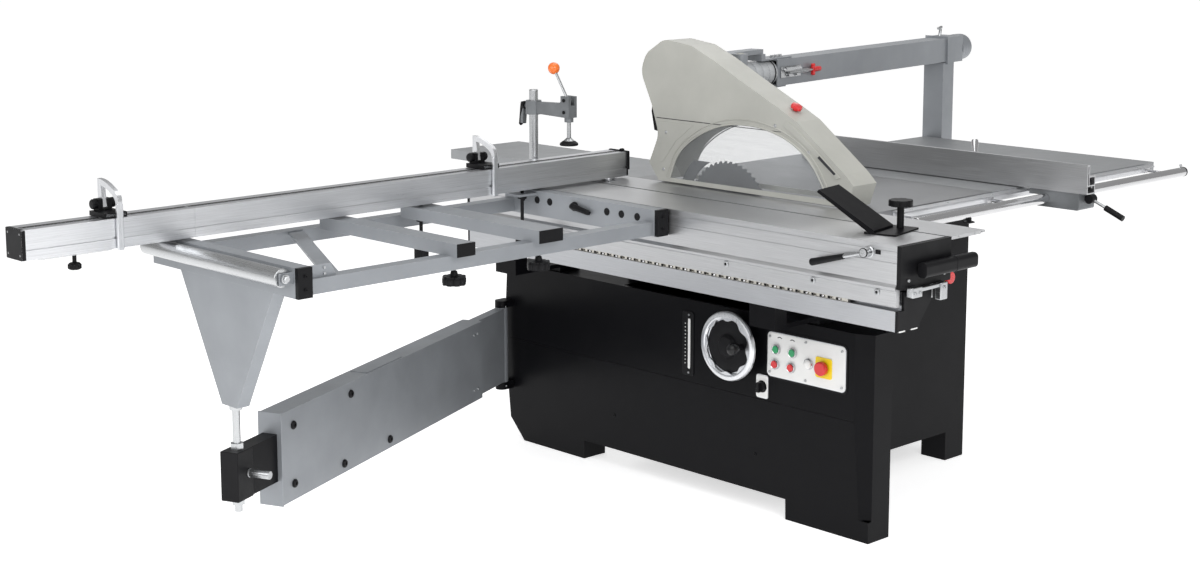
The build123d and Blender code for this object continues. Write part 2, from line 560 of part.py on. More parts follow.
with BuildPart() as outrigger_roller:
    rod((axle_x, FRAME_FRONT + 14, -ROLLER_RADIUS), (0, 1, 0), FRAME_BACK - FRAME_FRONT - 30, ROLLER_RADIUS)
    rod((axle_x, FRAME_FRONT + 2, -ROLLER_RADIUS), (0, 1, 0), FRAME_BACK - FRAME_FRONT - 4, 6)
    fillet(outrigger_roller.edges().filter_by(GeomType.CIRCLE).group_by(SortBy.RADIUS)[-1], 1.5)
save(outrigger_roller, "outrigger_roller")

BARS = ((-753.0, -697.0), (-484.0, -405.0))
BAR_YS = (FRAME_FRONT - 24, 1318.0)
with BuildPart() as support_bars:
    for bar_xs in BARS:
        tube(bar_xs, BAR_YS, (BEAM_TOP, 0), "y")
    rod((-445, 1278, -40), (0, 0, 1), 50, 6, mode=Mode.SUBTRACT)
save(support_bars, "support_bars")

with BuildPart() as tube_plugs:
    plug = 12.0
    for plug_x in (FRAME_LEFT, FRAME_RIGHT - TUBE):
        block((plug_x, plug_x + TUBE), (FRAME_FRONT - plug, FRAME_FRONT), (-SIDE_DEPTH, 0))
    for bar_left, bar_right in BARS:
        block((bar_left, bar_right), (BAR_YS[0] - 4, BAR_YS[0]), (BEAM_TOP, 0))
    fillet(tube_plugs.edges().group_by(Axis.Y)[0], 1)
save(tube_plugs, "tube_plugs")


def lobed_knob(x, y, z, radius, height, lobes=8):
    """A round knob with finger grooves, its base at z."""
    rod((x, y, z), (0, 0, 1), height, radius)
    with Locations(at(x, y, z + height / 2)):
        with PolarLocations(radius + 2.5, lobes):
            Cylinder(radius * 0.22, height + 2, mode=Mode.SUBTRACT)


with BuildPart() as bar_knobs:
    for knob_x, knob_y in ((-725, FRAME_FRONT + 22), (-445, FRAME_FRONT + 22)):
        rod((knob_x, knob_y, -88), (0, 0, 1), 88 + BEAM_TOP - BEAM_DEPTH, 5)
        lobed_knob(knob_x, knob_y, -110, 29, 22)
    for clamp_x in (-445.0, -76.0):
        rod((clamp_x, 1278, -122), (0, 0, 1), 122 + FENCE_FOOT - CLEAR, 5)
        lobed_knob(clamp_x, 1278, -148, 20, 28)
save(bar_knobs, "clamp_knobs")

# ================================================================ crosscut fence
FENCE_YS = (FENCE_FRONT, FENCE_FRONT + FENCE_DEEP)
FENCE_ZS = (FENCE_FOOT, FENCE_FOOT + FENCE_HIGH)


def fence_section(xs):
    """The fence profile: a hollow box with a scale ledge at the back and a groove in the face."""
    block(xs, FENCE_YS, FENCE_ZS)
    groove_z = FENCE_FOOT + 26
    block(xs, (FENCE_FRONT, FENCE_FRONT + 4), (groove_z - 3, groove_z + 3), mode=Mode.SUBTRACT)
    block(xs, (FENCE_FRONT + 20, FENCE_FRONT + 26), (FENCE_ZS[1] - 3, FENCE_ZS[1]), mode=Mode.SUBTRACT)


with BuildPart() as crosscut_fence:
    fence_section((FENCE_JOINT, FENCE_RIGHT))
    block((FENCE_JOINT, FENCE_RIGHT), (FENCE_FRONT + 9, FENCE_YS[1] - FENCE_WALL),
          (FENCE_FOOT + FENCE_WALL, FENCE_ZS[1] - 8), mode=Mode.SUBTRACT)
    rod((FENCE_PIVOT_X, FENCE_PIVOT_Y, -14), (0, 0, 1), 14 + FENCE_FOOT, 8)
    rod((FENCE_PIVOT_X, FENCE_PIVOT_Y, CLEAR), (0, 0, 1), FENCE_FOOT - CLEAR, 22)
save(crosscut_fence, "crosscut_fence")

with BuildPart() as fence_end_stop:
    block((FENCE_RIGHT, FENCE_RIGHT + 7), (FENCE_FRONT - 6, FENCE_YS[1]), (FENCE_FOOT + 20, FENCE_ZS[1] + 3))
    block((FENCE_RIGHT, FENCE_RIGHT + 13), (FENCE_FRONT + 6, FENCE_FRONT + 34), (FENCE_FOOT, FENCE_FOOT + 22))
    fillet(fence_end_stop.edges().filter_by(Axis.X).group_by(Axis.Z)[-1], 3)
save(fence_end_stop, "fence_end_stop")

with BuildPart() as fence_extension:
    fence_section((-FENCE_REACH + 10, FENCE_JOINT - CLEAR))
    block((FENCE_JOINT - CLEAR, FENCE_JOINT + 460), (FENCE_FRONT + 9 + CLEAR, FENCE_YS[1] - FENCE_WALL - CLEAR),
          (FENCE_FOOT + FENCE_WALL + CLEAR, FENCE_ZS[1] - 8 - CLEAR))
    block((-FENCE_REACH + 10, FENCE_JOINT + 460), (FENCE_FRONT + 14, FENCE_YS[1] - 2 * FENCE_WALL),
          (FENCE_FOOT + 2 * FENCE_WALL, FENCE_ZS[1] - 14), mode=Mode.SUBTRACT)
    block((-FENCE_REACH, -FENCE_REACH + 10), FENCE_YS, FENCE_ZS)
save(fence_extension, "fence_extension")

FLIP_Y = FENCE_YS[1] - 6
FLIP_Z = FENCE_ZS[1] + 28
FLIP_THICK = 12.0
for stop_side, stop_x in STOP_PLACES.items():
    with BuildPart() as stop_block:
        block((stop_x - 30, stop_x + 30), (FENCE_FRONT + 10, FENCE_YS[1] + 6), (FENCE_ZS[1] + CLEAR, FENCE_ZS[1] + 12))
        for ear_x in (stop_x - FLIP_THICK / 2 - CLEAR - 12, stop_x + FLIP_THICK / 2 + CLEAR):
            block((ear_x, ear_x + 12), (FLIP_Y - 12, FLIP_Y + 12), (FENCE_ZS[1] + 12, FLIP_Z + 12))
        rod((stop_x - FLIP_THICK / 2 - CLEAR - 22, FLIP_Y, FLIP_Z), (1, 0, 0), FLIP_THICK + 2 * CLEAR + 44, 5)
        for knob_x, way in ((stop_x - FLIP_THICK / 2 - CLEAR - 12, -1), (stop_x + FLIP_THICK / 2 + CLEAR + 12, 1)):
            rod((knob_x, FLIP_Y, FLIP_Z), (way, 0, 0), 12, 11)
    save(stop_block, f"stop_block_{stop_side}")

    with BuildPart() as stop_arm:
        with BuildSketch(side(stop_x - FLIP_THICK / 2)):
            with BuildLine():
                Polyline((FENCE_FRONT - 1, 5), (FENCE_FRONT - 12, 5), (FENCE_FRONT - 12, 118))
                Spline((FENCE_FRONT - 12, 118), (FENCE_FRONT + 14, 150), (FLIP_Y + 12, 168),
                       tangents=[(0, 1), (1, 0)])
                Polyline((FLIP_Y + 12, 168), (FLIP_Y + 12, FLIP_Z - 8), (FLIP_Y - 10, FLIP_Z - 8), (FLIP_Y - 4, 152))
                Spline((FLIP_Y - 4, 152), (FENCE_FRONT + 20, 137), (FENCE_FRONT - 1, 108),
                       tangents=[(-1, -0.1), (0, -1)])
                Line((FENCE_FRONT - 1, 108), (FENCE_FRONT - 1, 5))
            make_face()
            with Locations((FLIP_Y, FLIP_Z)):
                Circle(5 + FIT, mode=Mode.SUBTRACT)
        extrude(amount=FLIP_THICK)
    save(stop_arm, f"stop_arm_{stop_side}")

# ================================================================ hold-down clamp
POST_X = 30.0
POST_Y = 1345.0
POST_TOP = 278.0
POST_RADIUS = 13.0
HEAD_Y = 1195.0
with BuildPart() as clamp_post:
    rod((POST_X, POST_Y, 0), (0, 0, 1), POST_TOP, POST_RADIUS)
    chamfer(clamp_post.edges().group_by(Axis.Z)[-1], 2)
    rod((POST_X, POST_Y, 0), (0, 0, 1), 10, 24)
save(clamp_post, "clamp_post")

CLAMP_ARM_Z = 207.0
with BuildPart() as clamp_arm:
    rod((POST_X, POST_Y, CLAMP_ARM_Z), (0, 0, 1), 40, POST_RADIUS + 10)
    web = [(POST_Y, 211), (HEAD_Y + 14, 208), (HEAD_Y + 14, 262), (HEAD_Y + 30, 248), (POST_Y, 243)]
    outline(side(POST_X - 10), web, 20)
    block((POST_X - 16, POST_X + 16), (HEAD_Y - 16, HEAD_Y + 18), (209, 270))
    rod((POST_X, HEAD_Y, 196), (0, 0, 1), 13, 13)
    rod((POST_X, POST_Y, CLAMP_ARM_Z - 1), (0, 0, 1), 42, POST_RADIUS + FIT, mode=Mode.SUBTRACT)
    rod((POST_X, HEAD_Y, 195), (0, 0, 1), 80, 6 + FIT, mode=Mode.SUBTRACT)
    block((POST_X - 7, POST_X + 7), (HEAD_Y - 17, HEAD_Y + 19), (244, 271), mode=Mode.SUBTRACT)
    rod((POST_X, POST_Y + POST_RADIUS + 9, 230), (0, 1, 0), 12, 7)
    outline(side(POST_X - 7), [(POST_Y + 34, 238), (POST_Y + 48, 238), (POST_Y + 50, 178), (POST_Y + 40, 176)], 14)
save(clamp_arm, "clamp_arm")

LEVER_Z = 258.0
with BuildPart() as clamp_lever:
    rod((POST_X - 7 + CLEAR, HEAD_Y + 4, LEVER_Z), (1, 0, 0), 14 - 2 * CLEAR, 10)
    reach = (0, 0.56, 0.83)
    rod((POST_X, HEAD_Y + 4, LEVER_Z), reach, 92, 4)
    ball_centre = (POST_X, HEAD_Y + 4 + 105 * reach[1], LEVER_Z + 105 * reach[2])
    with Locations(at(*ball_centre)):
        Sphere(17)
save(clamp_lever, "clamp_lever")

with BuildPart() as clamp_spindle:
    rod((POST_X, HEAD_Y, 148), (0, 0, 1), 85, 6)
    with BuildSketch(plan(136)):
        with Locations((POST_X, HEAD_Y)):
            Circle(24)
    with BuildSketch(plan(150)):
        with Locations((POST_X, HEAD_Y)):
            Circle(8)
    loft()
save(clamp_spindle, "clamp_spindle")

# ================================================================ swing arm under the outrigger
ROD_X = FRAME_LEFT + TUBE / 2
ROD_REACH = hypot(PIVOT_X - ROD_X, PIVOT_Y - LEG_Y)
ARM_ANGLE = atan2(PIVOT_Y - LEG_Y, PIVOT_X - ROD_X)
ARM_LONG = ROD_REACH - 150


def arm_box(along, across, zs, mode=Mode.ADD):
    """A box in the swing arm's own directions, measured from the hinge pin."""
    way = (-cos(ARM_ANGLE), -sin(ARM_ANGLE), 0)
    with BuildSketch(Plane(origin=at(PIVOT_X, PIVOT_Y, zs[0]), x_dir=way, z_dir=(0, 0, 1))) as section:
        with Locations(((along[0] + along[1]) / 2, (across[0] + across[1]) / 2)):
            Rectangle(along[1] - along[0], across[1] - across[0])
    extrude(section.sketch, amount=zs[1] - zs[0], mode=mode)


def arm_point(along, across, z):
    """A point in the swing arm's own directions, beside the datum corner."""
    x = PIVOT_X - along * cos(ARM_ANGLE) + across * sin(ARM_ANGLE)
    y = PIVOT_Y - along * sin(ARM_ANGLE) - across * cos(ARM_ANGLE)
    return (x, y, z)


with BuildPart() as swing_arm:
    half = ARM_WIDE / 2
    arm_box((ARM_HINGE, ARM_LONG), (-half, half), (ARM_FOOT, ARM_TOP))
    arm_box((ARM_HINGE + 8, ARM_LONG - 6), (-half + 4, half - 4), (ARM_FOOT + 4, ARM_TOP - 4), mode=Mode.SUBTRACT)
    arm_box((ARM_LONG - 7, ARM_LONG), (-INNER_WIDE / 2 - 3, INNER_WIDE / 2 + 3), (INNER_FOOT - 8, INNER_TOP + 8),
            mode=Mode.SUBTRACT)
    arm_box((0, ARM_HINGE), (-16, 16), (ARM_FOOT + 2, ARM_TOP - 2))
    arm_box((24, ARM_HINGE - 5), (-12, 12), (ARM_FOOT + 6, ARM_TOP - 6), mode=Mode.SUBTRACT)
    rod((PIVOT_X, PIVOT_Y, ARM_FOOT), (0, 0, 1), ARM_TOP - ARM_FOOT, 20)
    rod((PIVOT_X, PIVOT_Y, ARM_FOOT - 1), (0, 0, 1), ARM_TOP - ARM_FOOT + 2, ARM_PIN + FIT, mode=Mode.SUBTRACT)
    arm_box((700, 900), (-half + 6, half - 6), (ARM_TOP, ARM_TOP + 2))
save(swing_arm, "swing_arm")

with BuildPart() as inner_arm:
    inner_half = INNER_WIDE / 2
    inner_end = ROD_REACH + 36
    arm_box((700, inner_end), (-inner_half, inner_half), (INNER_FOOT, INNER_TOP))
    arm_box((700, ROD_REACH - 40), (-inner_half + 5, inner_half - 5), (INNER_FOOT + 5, INNER_TOP - 5),
            mode=Mode.SUBTRACT)
    rod((ROD_X, LEG_Y, INNER_FOOT - 1), (0, 0, 1), INNER_TOP - INNER_FOOT + 2, ROD_RADIUS, mode=Mode.SUBTRACT)
    for guide in (720, 860):
        arm_box((guide, guide + 60), (-half + 4 + CLEAR, half - 4 - CLEAR), (INNER_FOOT - 12, INNER_FOOT))
save(inner_arm, "inner_arm")

with BuildPart() as levelling_rod:
    rod((ROD_X, LEG_Y, INNER_FOOT - 34), (0, 0, 1), LEG_FOOT - CLEAR - INNER_FOOT + 34, ROD_RADIUS)
    for nut_z in (INNER_TOP, INNER_FOOT - 16):
        with BuildSketch(plan(nut_z)):
            with Locations((ROD_X, LEG_Y)):
                RegularPolygon(17, 6)
        extrude(amount=16)
    pin_start = arm_point(ROD_REACH - 14, inner_half, (INNER_TOP + INNER_FOOT) / 2)
    rod(pin_start, (sin(ARM_ANGLE), -cos(ARM_ANGLE), 0), 62, 10)
save(levelling_rod, "levelling_rod")

# ================================================================ rip fence
RIP_ZS = (RIP_FOOT, RIP_FOOT + RIP_HIGH)
with BuildPart() as rip_fence:
    rip_ys = (RIP_FRONT, RIP_FRONT + RIP_LONG)
    block((RIP_LEFT, RIP_LEFT + 12), rip_ys, RIP_ZS)
    block((RIP_LEFT, RIP_LEFT + RIP_WIDE), rip_ys, (RIP_FOOT, RIP_FOOT + 52))
    block((RIP_LEFT + 4, RIP_LEFT + RIP_WIDE - 4), rip_ys, (RIP_FOOT + 4, RIP_FOOT + 22), mode=Mode.SUBTRACT)
    block((RIP_LEFT + 12, RIP_LEFT + RIP_WIDE - 4), rip_ys, (RIP_FOOT + 26, RIP_FOOT + 48), mode=Mode.SUBTRACT)
    block((RIP_LEFT + 4, RIP_LEFT + 8), rip_ys, (RIP_FOOT + 26, RIP_ZS[1] - 5), mode=Mode.SUBTRACT)
save(rip_fence, "rip_fence")

CARRIER_XS = (RIP_LEFT + 5, RIP_LEFT + 85)
with BuildPart() as fence_carrier:
    block(CARRIER_XS, (135, 300), (-46, RIP_FOOT - CLEAR))
    fillet(fence_carrier.edges().filter_by(Axis.X), 6)
    rod((CARRIER_XS[0] - 1, RAIL_Y, RAIL_Z), (1, 0, 0), 82, RAIL_RADIUS + 0.1, mode=Mode.SUBTRACT)
    block((CARRIER_XS[0] - 1, CARRIER_XS[1] + 1), (RAIL_Y, 301), (RAIL_Z - 9, RAIL_Z + 9), mode=Mode.SUBTRACT)
    block((CARRIER_XS[0] - 1, CARRIER_XS[1] + 1), (272, 301), (-47, RAIL_Z), mode=Mode.SUBTRACT)
    rod((RIP_LEFT + 45, 134, -14), (0, 1, 0), 12, 9, mode=Mode.SUBTRACT)
save(fence_carrier, "fence_carrier")

with BuildPart() as rip_lever:
    lever_x = RIP_LEFT + 45
    rod((lever_x - 11, 121, -14), (1, 0, 0), 22, 13)
    slope = (0, -0.92, -0.39)
    rod((lever_x, 121, -14), slope, 60, 4)
    rod((lever_x, 121 + 52 * slope[1], -14 + 52 * slope[2]), slope, 62, 8.5)
save(rip_lever, "rip_lever")

# ================================================================ overhead arm and guard
with BuildPart() as guard_arm:
    over_zs = (OVER_FOOT, OVER_FOOT + OVER_HIGH)
    over_box((-SLEEVE_LONG + 30, OVER_LONG), (-OVER_WIDE / 2, OVER_WIDE / 2), over_zs)
    over_box((-SLEEVE_LONG + 30, OVER_LONG), (-OVER_WIDE / 2 + 4, OVER_WIDE / 2 - 4),
             (OVER_FOOT + 4, OVER_FOOT + OVER_HIGH - 4), mode=Mode.SUBTRACT)
    over_box((OVER_LONG - 90, OVER_LONG + 75), (-30, 30), (OVER_FOOT + OVER_HIGH, OVER_FOOT + OVER_HIGH + 5))
    over_box((OVER_LONG - 60, OVER_LONG + 20), (-30, 30), (OVER_FOOT - 5, OVER_FOOT))
    beam_zs = (HANGER_Z, HANGER_Z + 14)
    over_box((OVER_LONG + 55, OVER_LONG + 75), (-30, 30), (OVER_FOOT + OVER_HIGH + 5, beam_zs[0]))
    over_box((OVER_LONG + 55, LIFT_ALONG + 22), (-22, 22), beam_zs)
    over_box((LIFT_ALONG - 22, LIFT_ALONG + 22), (22, LIFT_ACROSS), beam_zs)
    rod(over_point(LIFT_ALONG, LIFT_ACROSS, HANGER_Z - 30), (0, 0, 1), 44, 22)
    rod(over_point(LIFT_ALONG, LIFT_ACROSS, HANGER_Z - 31), (0, 0, 1), 46, LIFT_RADIUS + FIT, mode=Mode.SUBTRACT)
save(guard_arm, "guard_arm")

GUARD_LINE = [
    (1131, GUARD_FOOT), (1169, 56), (1131, 141), (1161, 228), (1207, 321), (1185, 375), (1111, 421),
    (1001, 407), (917, 372), (813, 321), (666, 253), (604, 222), (433, 95), (402, 66), (423, GUARD_FOOT),
]
GUARD_ROUND = 60.0
ARCH_FRONT = 489.0
ARCH_BACK = 1084.0


def guard_outline(x, inset, amount, mode=Mode.ADD):
    """The hood's side view, drawn at x and drawn in by the inset on every edge but the lower one."""
    with BuildSketch(side(x)) as view:
        with BuildLine():
            Polyline(*GUARD_LINE, close=True)
        make_face()
        fillet([corner for corner in view.vertices() if corner.X > 1100 and corner.Y > 100], GUARD_ROUND)
        if inset:
            offset(amount=-inset, mode=Mode.REPLACE)
    extrude(view.sketch, amount=amount, mode=mode)


def guard_arch(x, amount, mode=Mode.ADD):
    """The arched opening in the hood's side."""
    with BuildSketch(side(x)) as arch:
        with BuildLine():
            Spline((ARCH_FRONT, 20), (567, 131), (684, 187), (909, 181), (1040, 105), (ARCH_BACK, 17))
            Line((ARCH_BACK, 17), (ARCH_FRONT, 20))
        make_face()
    extrude(arch.sketch, amount=amount, mode=mode)


with BuildPart() as guard_shell:
    guard_outline(GUARD_LEFT, 0, GUARD_RIGHT - GUARD_LEFT)
    guard_outline(GUARD_LEFT + GUARD_WALL, GUARD_WALL, GUARD_RIGHT - GUARD_LEFT - 2 * GUARD_WALL, mode=Mode.SUBTRACT)
    block((GUARD_LEFT + GUARD_WALL, GUARD_RIGHT - GUARD_WALL), (424, 1128), (GUARD_FOOT - 1, GUARD_FOOT + 8),
          mode=Mode.SUBTRACT)
    guard_arch(GUARD_LEFT - 1, GUARD_RIGHT - GUARD_LEFT + 2, mode=Mode.SUBTRACT)
    block((GUARD_LEFT, GUARD_LEFT + 1), (684, 1148), (189, 191), mode=Mode.SUBTRACT)
    rod((GUARD_RIGHT - 5, DUCT_Y, DUCT_Z), (1, 0, 0), 45, DUCT_RADIUS + 3)
    rod((GUARD_RIGHT - 6, DUCT_Y, DUCT_Z), (1, 0, 0), 52, DUCT_RADIUS, mode=Mode.SUBTRACT)
    lift_x, lift_y, lift_z = over_point(LIFT_ALONG, LIFT_ACROSS, 215)
    block((GUARD_RIGHT, lift_x + 16), (lift_y - 14, lift_y + 14), (201, 215))
    rod((GUARD_LEFT + GUARD_WALL, 452, 78), (1, 0, 0), 92, 5 + FIT, mode=Mode.SUBTRACT)
    rod((lift_x, lift_y, 215), (0, 0, 1), HANGER_Z + 16 - 215, LIFT_RADIUS)
save(guard_shell, "guard_shell")

with BuildPart() as guard_windows:
    for window_x in (GUARD_LEFT, GUARD_RIGHT - GUARD_WALL):
        guard_arch(window_x, GUARD_WALL)
save(guard_windows, "guard_windows")

with BuildPart() as dust_duct:
    duct_start = over_point(OVER_LONG, 0, DUCT_Z)
    duct_end = (GUARD_RIGHT + 8, DUCT_Y, DUCT_Z)
    with BuildLine():
        Spline(at(*duct_start), at(*duct_end), tangents=[YAW_AXIS, (-1, 0, 0)])
    with BuildSketch(Plane(origin=at(*duct_start), z_dir=YAW_AXIS)):
        Circle(DUCT_RADIUS - 4)
        Circle(DUCT_RADIUS - 7, mode=Mode.SUBTRACT)
    sweep()
save(dust_duct, "dust_duct")

# ================================================================ saw unit under the table
PULLEY_RADIUS = 32.0
BELT = 4.0
BELT_XS = (432.0, 453.0)
BLADE_Z = BLADE_RISE - BLADE_RADIUS
KERF = 3.2
ARBOR_RADIUS = 12.0
MOTOR_Y = 700.0
MOTOR_Z = -160.0
SLIDE_X = 430.0
SLIDE_YS = (1012.0, 1092.0)
GUIDE_RADIUS = 12.0
SCORE_Y = 653.0
SCORE_Z = -58.0
SCORE_RADIUS = 60.0


def saw_disc(y, z, radius, teeth, depth, width):
    """A toothed disc in the blade plane."""
    points = []
    for index in range(teeth):
        for share, reach_in in ((0.0, depth), (0.35, 0.0), (0.62, 0.0), (0.66, depth)):
            angle = 2 * pi * (index + share) / teeth
            points.append((y + (radius - reach_in) * cos(angle), z + (radius - reach_in) * sin(angle)))
    outline(side(BLADE_X - width / 2), points, width)


with BuildPart() as main_blade:
    saw_disc(BLADE_Y, BLADE_Z, BLADE_RADIUS, 48, 6.0, KERF)
    rod((BLADE_X - 5, BLADE_Y, BLADE_Z), (1, 0, 0), 10, ARBOR_RADIUS, mode=Mode.SUBTRACT)
save(main_blade, "main_blade")

with BuildPart() as arbor:
    rod((BLADE_X - 14, BLADE_Y, BLADE_Z), (1, 0, 0), BELT_XS[1] + 3 - BLADE_X + 14, ARBOR_RADIUS)
    rod((BLADE_X - 10, BLADE_Y, BLADE_Z), (1, 0, 0), 10 - KERF / 2, 40)
    rod((BLADE_X + KERF / 2, BLADE_Y, BLADE_Z), (1, 0, 0), 8, 40)
    rod((BELT_XS[0], BLADE_Y, BLADE_Z), (1, 0, 0), BELT_XS[1] - BELT_XS[0], PULLEY_RADIUS)
save(arbor, "arbor")

with BuildPart() as tilt_frame:
    for plate_front, way in ((TRUNNION_YS[0][1] + 4, -1), (TRUNNION_YS[1][0] - 14, 1)):
        cheek = [(400, -44), (575, -44), (575, -96), (520, -185), (400, -185)]
        outline(front(plate_front), cheek, -10)
        for pin_angle in PIN_ANGLES:
            pin_x = BLADE_X + TRUNNION_RADIUS * cos(radians(pin_angle))
            pin_z = TRUNNION_RADIUS * sin(radians(pin_angle))
            pin_start = plate_front if way < 0 else plate_front + 10
            rod((pin_x, pin_start, pin_z), (0, way, 0), 22, PIN_RADIUS)
    inner_ys = (TRUNNION_YS[0][1] + 14, TRUNNION_YS[1][0] - 14)
    block((540, 565), inner_ys, (-72, -50))
    block((402, 563), (1125, inner_ys[1] + 4), (-254, -52))
    for bar_z in (-44, -238):
        block((SLIDE_X - 20, SLIDE_X + 20), (990, 1125), (bar_z - 12, bar_z))
    for slide_y in SLIDE_YS:
        rod((SLIDE_X, slide_y, -240), (0, 0, 1), 240 - 56, GUIDE_RADIUS)
    block((390, 428), (600, SCORE_Y), (-72, -48))
    rod((388, SCORE_Y, SCORE_Z), (1, 0, 0), 42, 22)
    rod((387, SCORE_Y, SCORE_Z), (1, 0, 0), 44, 8 + FIT, mode=Mode.SUBTRACT)
save(tilt_frame, "tilt_frame")

with BuildPart() as scoring_blade:
    saw_disc(SCORE_Y, SCORE_Z, SCORE_RADIUS, 24, 4.0, KERF)
    rod((BLADE_X - 8, SCORE_Y, SCORE_Z), (1, 0, 0), 78, 8)
    rod((BLADE_X - 7, SCORE_Y, SCORE_Z), (1, 0, 0), 16, 20)
save(scoring_blade, "scoring_blade")

with BuildPart() as raise_slide:
    block((SLIDE_X - 20, SLIDE_X + 20), (992, 1112), (-130, -60))
    for slide_y in SLIDE_YS:
        rod((SLIDE_X, slide_y, -131), (0, 0, 1), 72, GUIDE_RADIUS + FIT, mode=Mode.SUBTRACT)
    block((404, 416), (BLADE_Y, 992), (-108, -60))
    rod((384, BLADE_Y, BLADE_Z), (1, 0, 0), 40, 28)
    rod((383, BLADE_Y, BLADE_Z), (1, 0, 0), 42, ARBOR_RADIUS + FIT, mode=Mode.SUBTRACT)
    block((450, 470), (996, 1108), (-130, -100))
    block((470, 482), (MOTOR_Y - 70, 1108), (-205, -100))
    block((482, 500), (MOTOR_Y - 50, MOTOR_Y + 50), (-205, -110))
    rod((469, MOTOR_Y, MOTOR_Z), (1, 0, 0), 60, 9 + FIT, mode=Mode.SUBTRACT)
    block((BLADE_X + 1.3, SLIDE_X - 20), (1062, 1090), (-125, -95))
save(raise_slide, "raise_slide")

with BuildPart() as motor:
    rod((500, MOTOR_Y, MOTOR_Z), (1, 0, 0), 200, 72)
    rod((700, MOTOR_Y, MOTOR_Z), (1, 0, 0), 35, 68)
    block((590, 670), (MOTOR_Y - 40, MOTOR_Y + 40), (MOTOR_Z + 60, MOTOR_Z + 92))
    rod((499, MOTOR_Y, MOTOR_Z), (1, 0, 0), 40, 9 + FIT, mode=Mode.SUBTRACT)
save(motor, "motor")

with BuildPart() as motor_pulley:
    rod((BELT_XS[0], MOTOR_Y, MOTOR_Z), (1, 0, 0), BELT_XS[1] - BELT_XS[0], PULLEY_RADIUS)
    rod((BELT_XS[1], MOTOR_Y, MOTOR_Z), (1, 0, 0), 82, 9)
save(motor_pulley, "motor_pulley")

BELT_RUN = hypot(BLADE_Y - MOTOR_Y, BLADE_Z - MOTOR_Z)
BELT_ANGLE = degrees(atan2(BLADE_Z - MOTOR_Z, BLADE_Y - MOTOR_Y))
with BuildPart() as drive_belt:
    with BuildSketch(side(BELT_XS[0])):
        with Locations(((BLADE_Y + MOTOR_Y) / 2, (BLADE_Z + MOTOR_Z) / 2)):
            SlotCenterToCenter(BELT_RUN, 2 * (PULLEY_RADIUS + CLEAR + BELT), rotation=BELT_ANGLE)
            SlotCenterToCenter(BELT_RUN, 2 * (PULLEY_RADIUS + CLEAR), rotation=BELT_ANGLE, mode=Mode.SUBTRACT)
    extrude(amount=BELT_XS[1] - BELT_XS[0])
save(drive_belt, "drive_belt")

with BuildPart() as riving_knife:
    with BuildSketch(side(BLADE_X - 1.3)):
        with Locations((BLADE_Y, BLADE_Z)):
            Circle(BLADE_RADIUS + 45)
            Circle(BLADE_RADIUS + 7, mode=Mode.SUBTRACT)
        with Locations((BLADE_Y + 150, BLADE_Z + 45)):
            Rectangle(190, 195, mode=Mode.INTERSECT)
    extrude(amount=2.6)
save(riving_knife, "riving_knife")

# ================================================================ controls
WHEEL_X = 158.0
with BuildPart() as handwheel:
    with BuildSketch(side(WHEEL_X)):
        with Locations((WHEEL_Y, WHEEL_Z)):
            Circle(WHEEL_RADIUS)
            Circle(WHEEL_RADIUS - 17, mode=Mode.SUBTRACT)
    extrude(amount=18)
    fillet(handwheel.edges(), 5)
    with BuildSketch(side(WHEEL_X + 6)):
        with Locations((WHEEL_Y, WHEEL_Z)):
            Circle(WHEEL_RADIUS - 12)
            with PolarLocations(58, 6):
                Circle(15, mode=Mode.SUBTRACT)
    extrude(amount=7)
    rod((WHEEL_X, WHEEL_Y, WHEEL_Z), (1, 0, 0), WING_LEFT - CLEAR - WHEEL_X, 24)
    rod((WING_LEFT - 1, WHEEL_Y, WHEEL_Z), (1, 0, 0), 45, SHAFT)
save(handwheel, "handwheel")

PLATE_FACE = WING_LEFT - SHEET
for button_name, (button_y, button_z) in BUTTON_PLACES.items():
    with BuildPart() as push_button:
        rod((PLATE_FACE - 10, button_y, button_z), (1, 0, 0), 16, BUTTON)
        fillet(push_button.edges().group_by(Axis.X)[0], 1)
    save(push_button, button_name)

with BuildPart() as stop_side:
    rod((PLATE_FACE - 22, *STOP_SIDE), (1, 0, 0), 14, 19)
    fillet(stop_side.edges().group_by(Axis.X)[0], 4)
    rod((PLATE_FACE - 10, *STOP_SIDE), (1, 0, 0), 18, 9)
save(stop_side, "emergency_stop_side")

with BuildPart() as stop_front:
    stop_x, stop_z = STOP_FRONT
    rod((stop_x, BODY_FRONT - 26, stop_z), (0, 1, 0), 14, 19)
    fillet(stop_front.edges().group_by(Axis.Y)[0], 4)
    rod((stop_x, BODY_FRONT - 13, stop_z), (0, 1, 0), 25, 9)
save(stop_front, "emergency_stop_front")

with BuildPart() as switch_knob:
    rod((PLATE_FACE - CLEAR - 10, *SWITCH), (1, 0, 0), 10, 14)
    block((PLATE_FACE - CLEAR - 20, PLATE_FACE - CLEAR - 10), (SWITCH[0] - 4, SWITCH[0] + 4),
          (SWITCH[1] - 14, SWITCH[1] + 14))
    rod((PLATE_FACE - CLEAR - 1, *SWITCH), (1, 0, 0), 14, 6)
save(switch_knob, "switch_knob")
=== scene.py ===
"""Looks of the sliding-table panel saw: materials, small fittings, light and camera."""
import json
from math import cos, pi, radians, sin

import bmesh
import bpy
from mathutils import Matrix, Vector


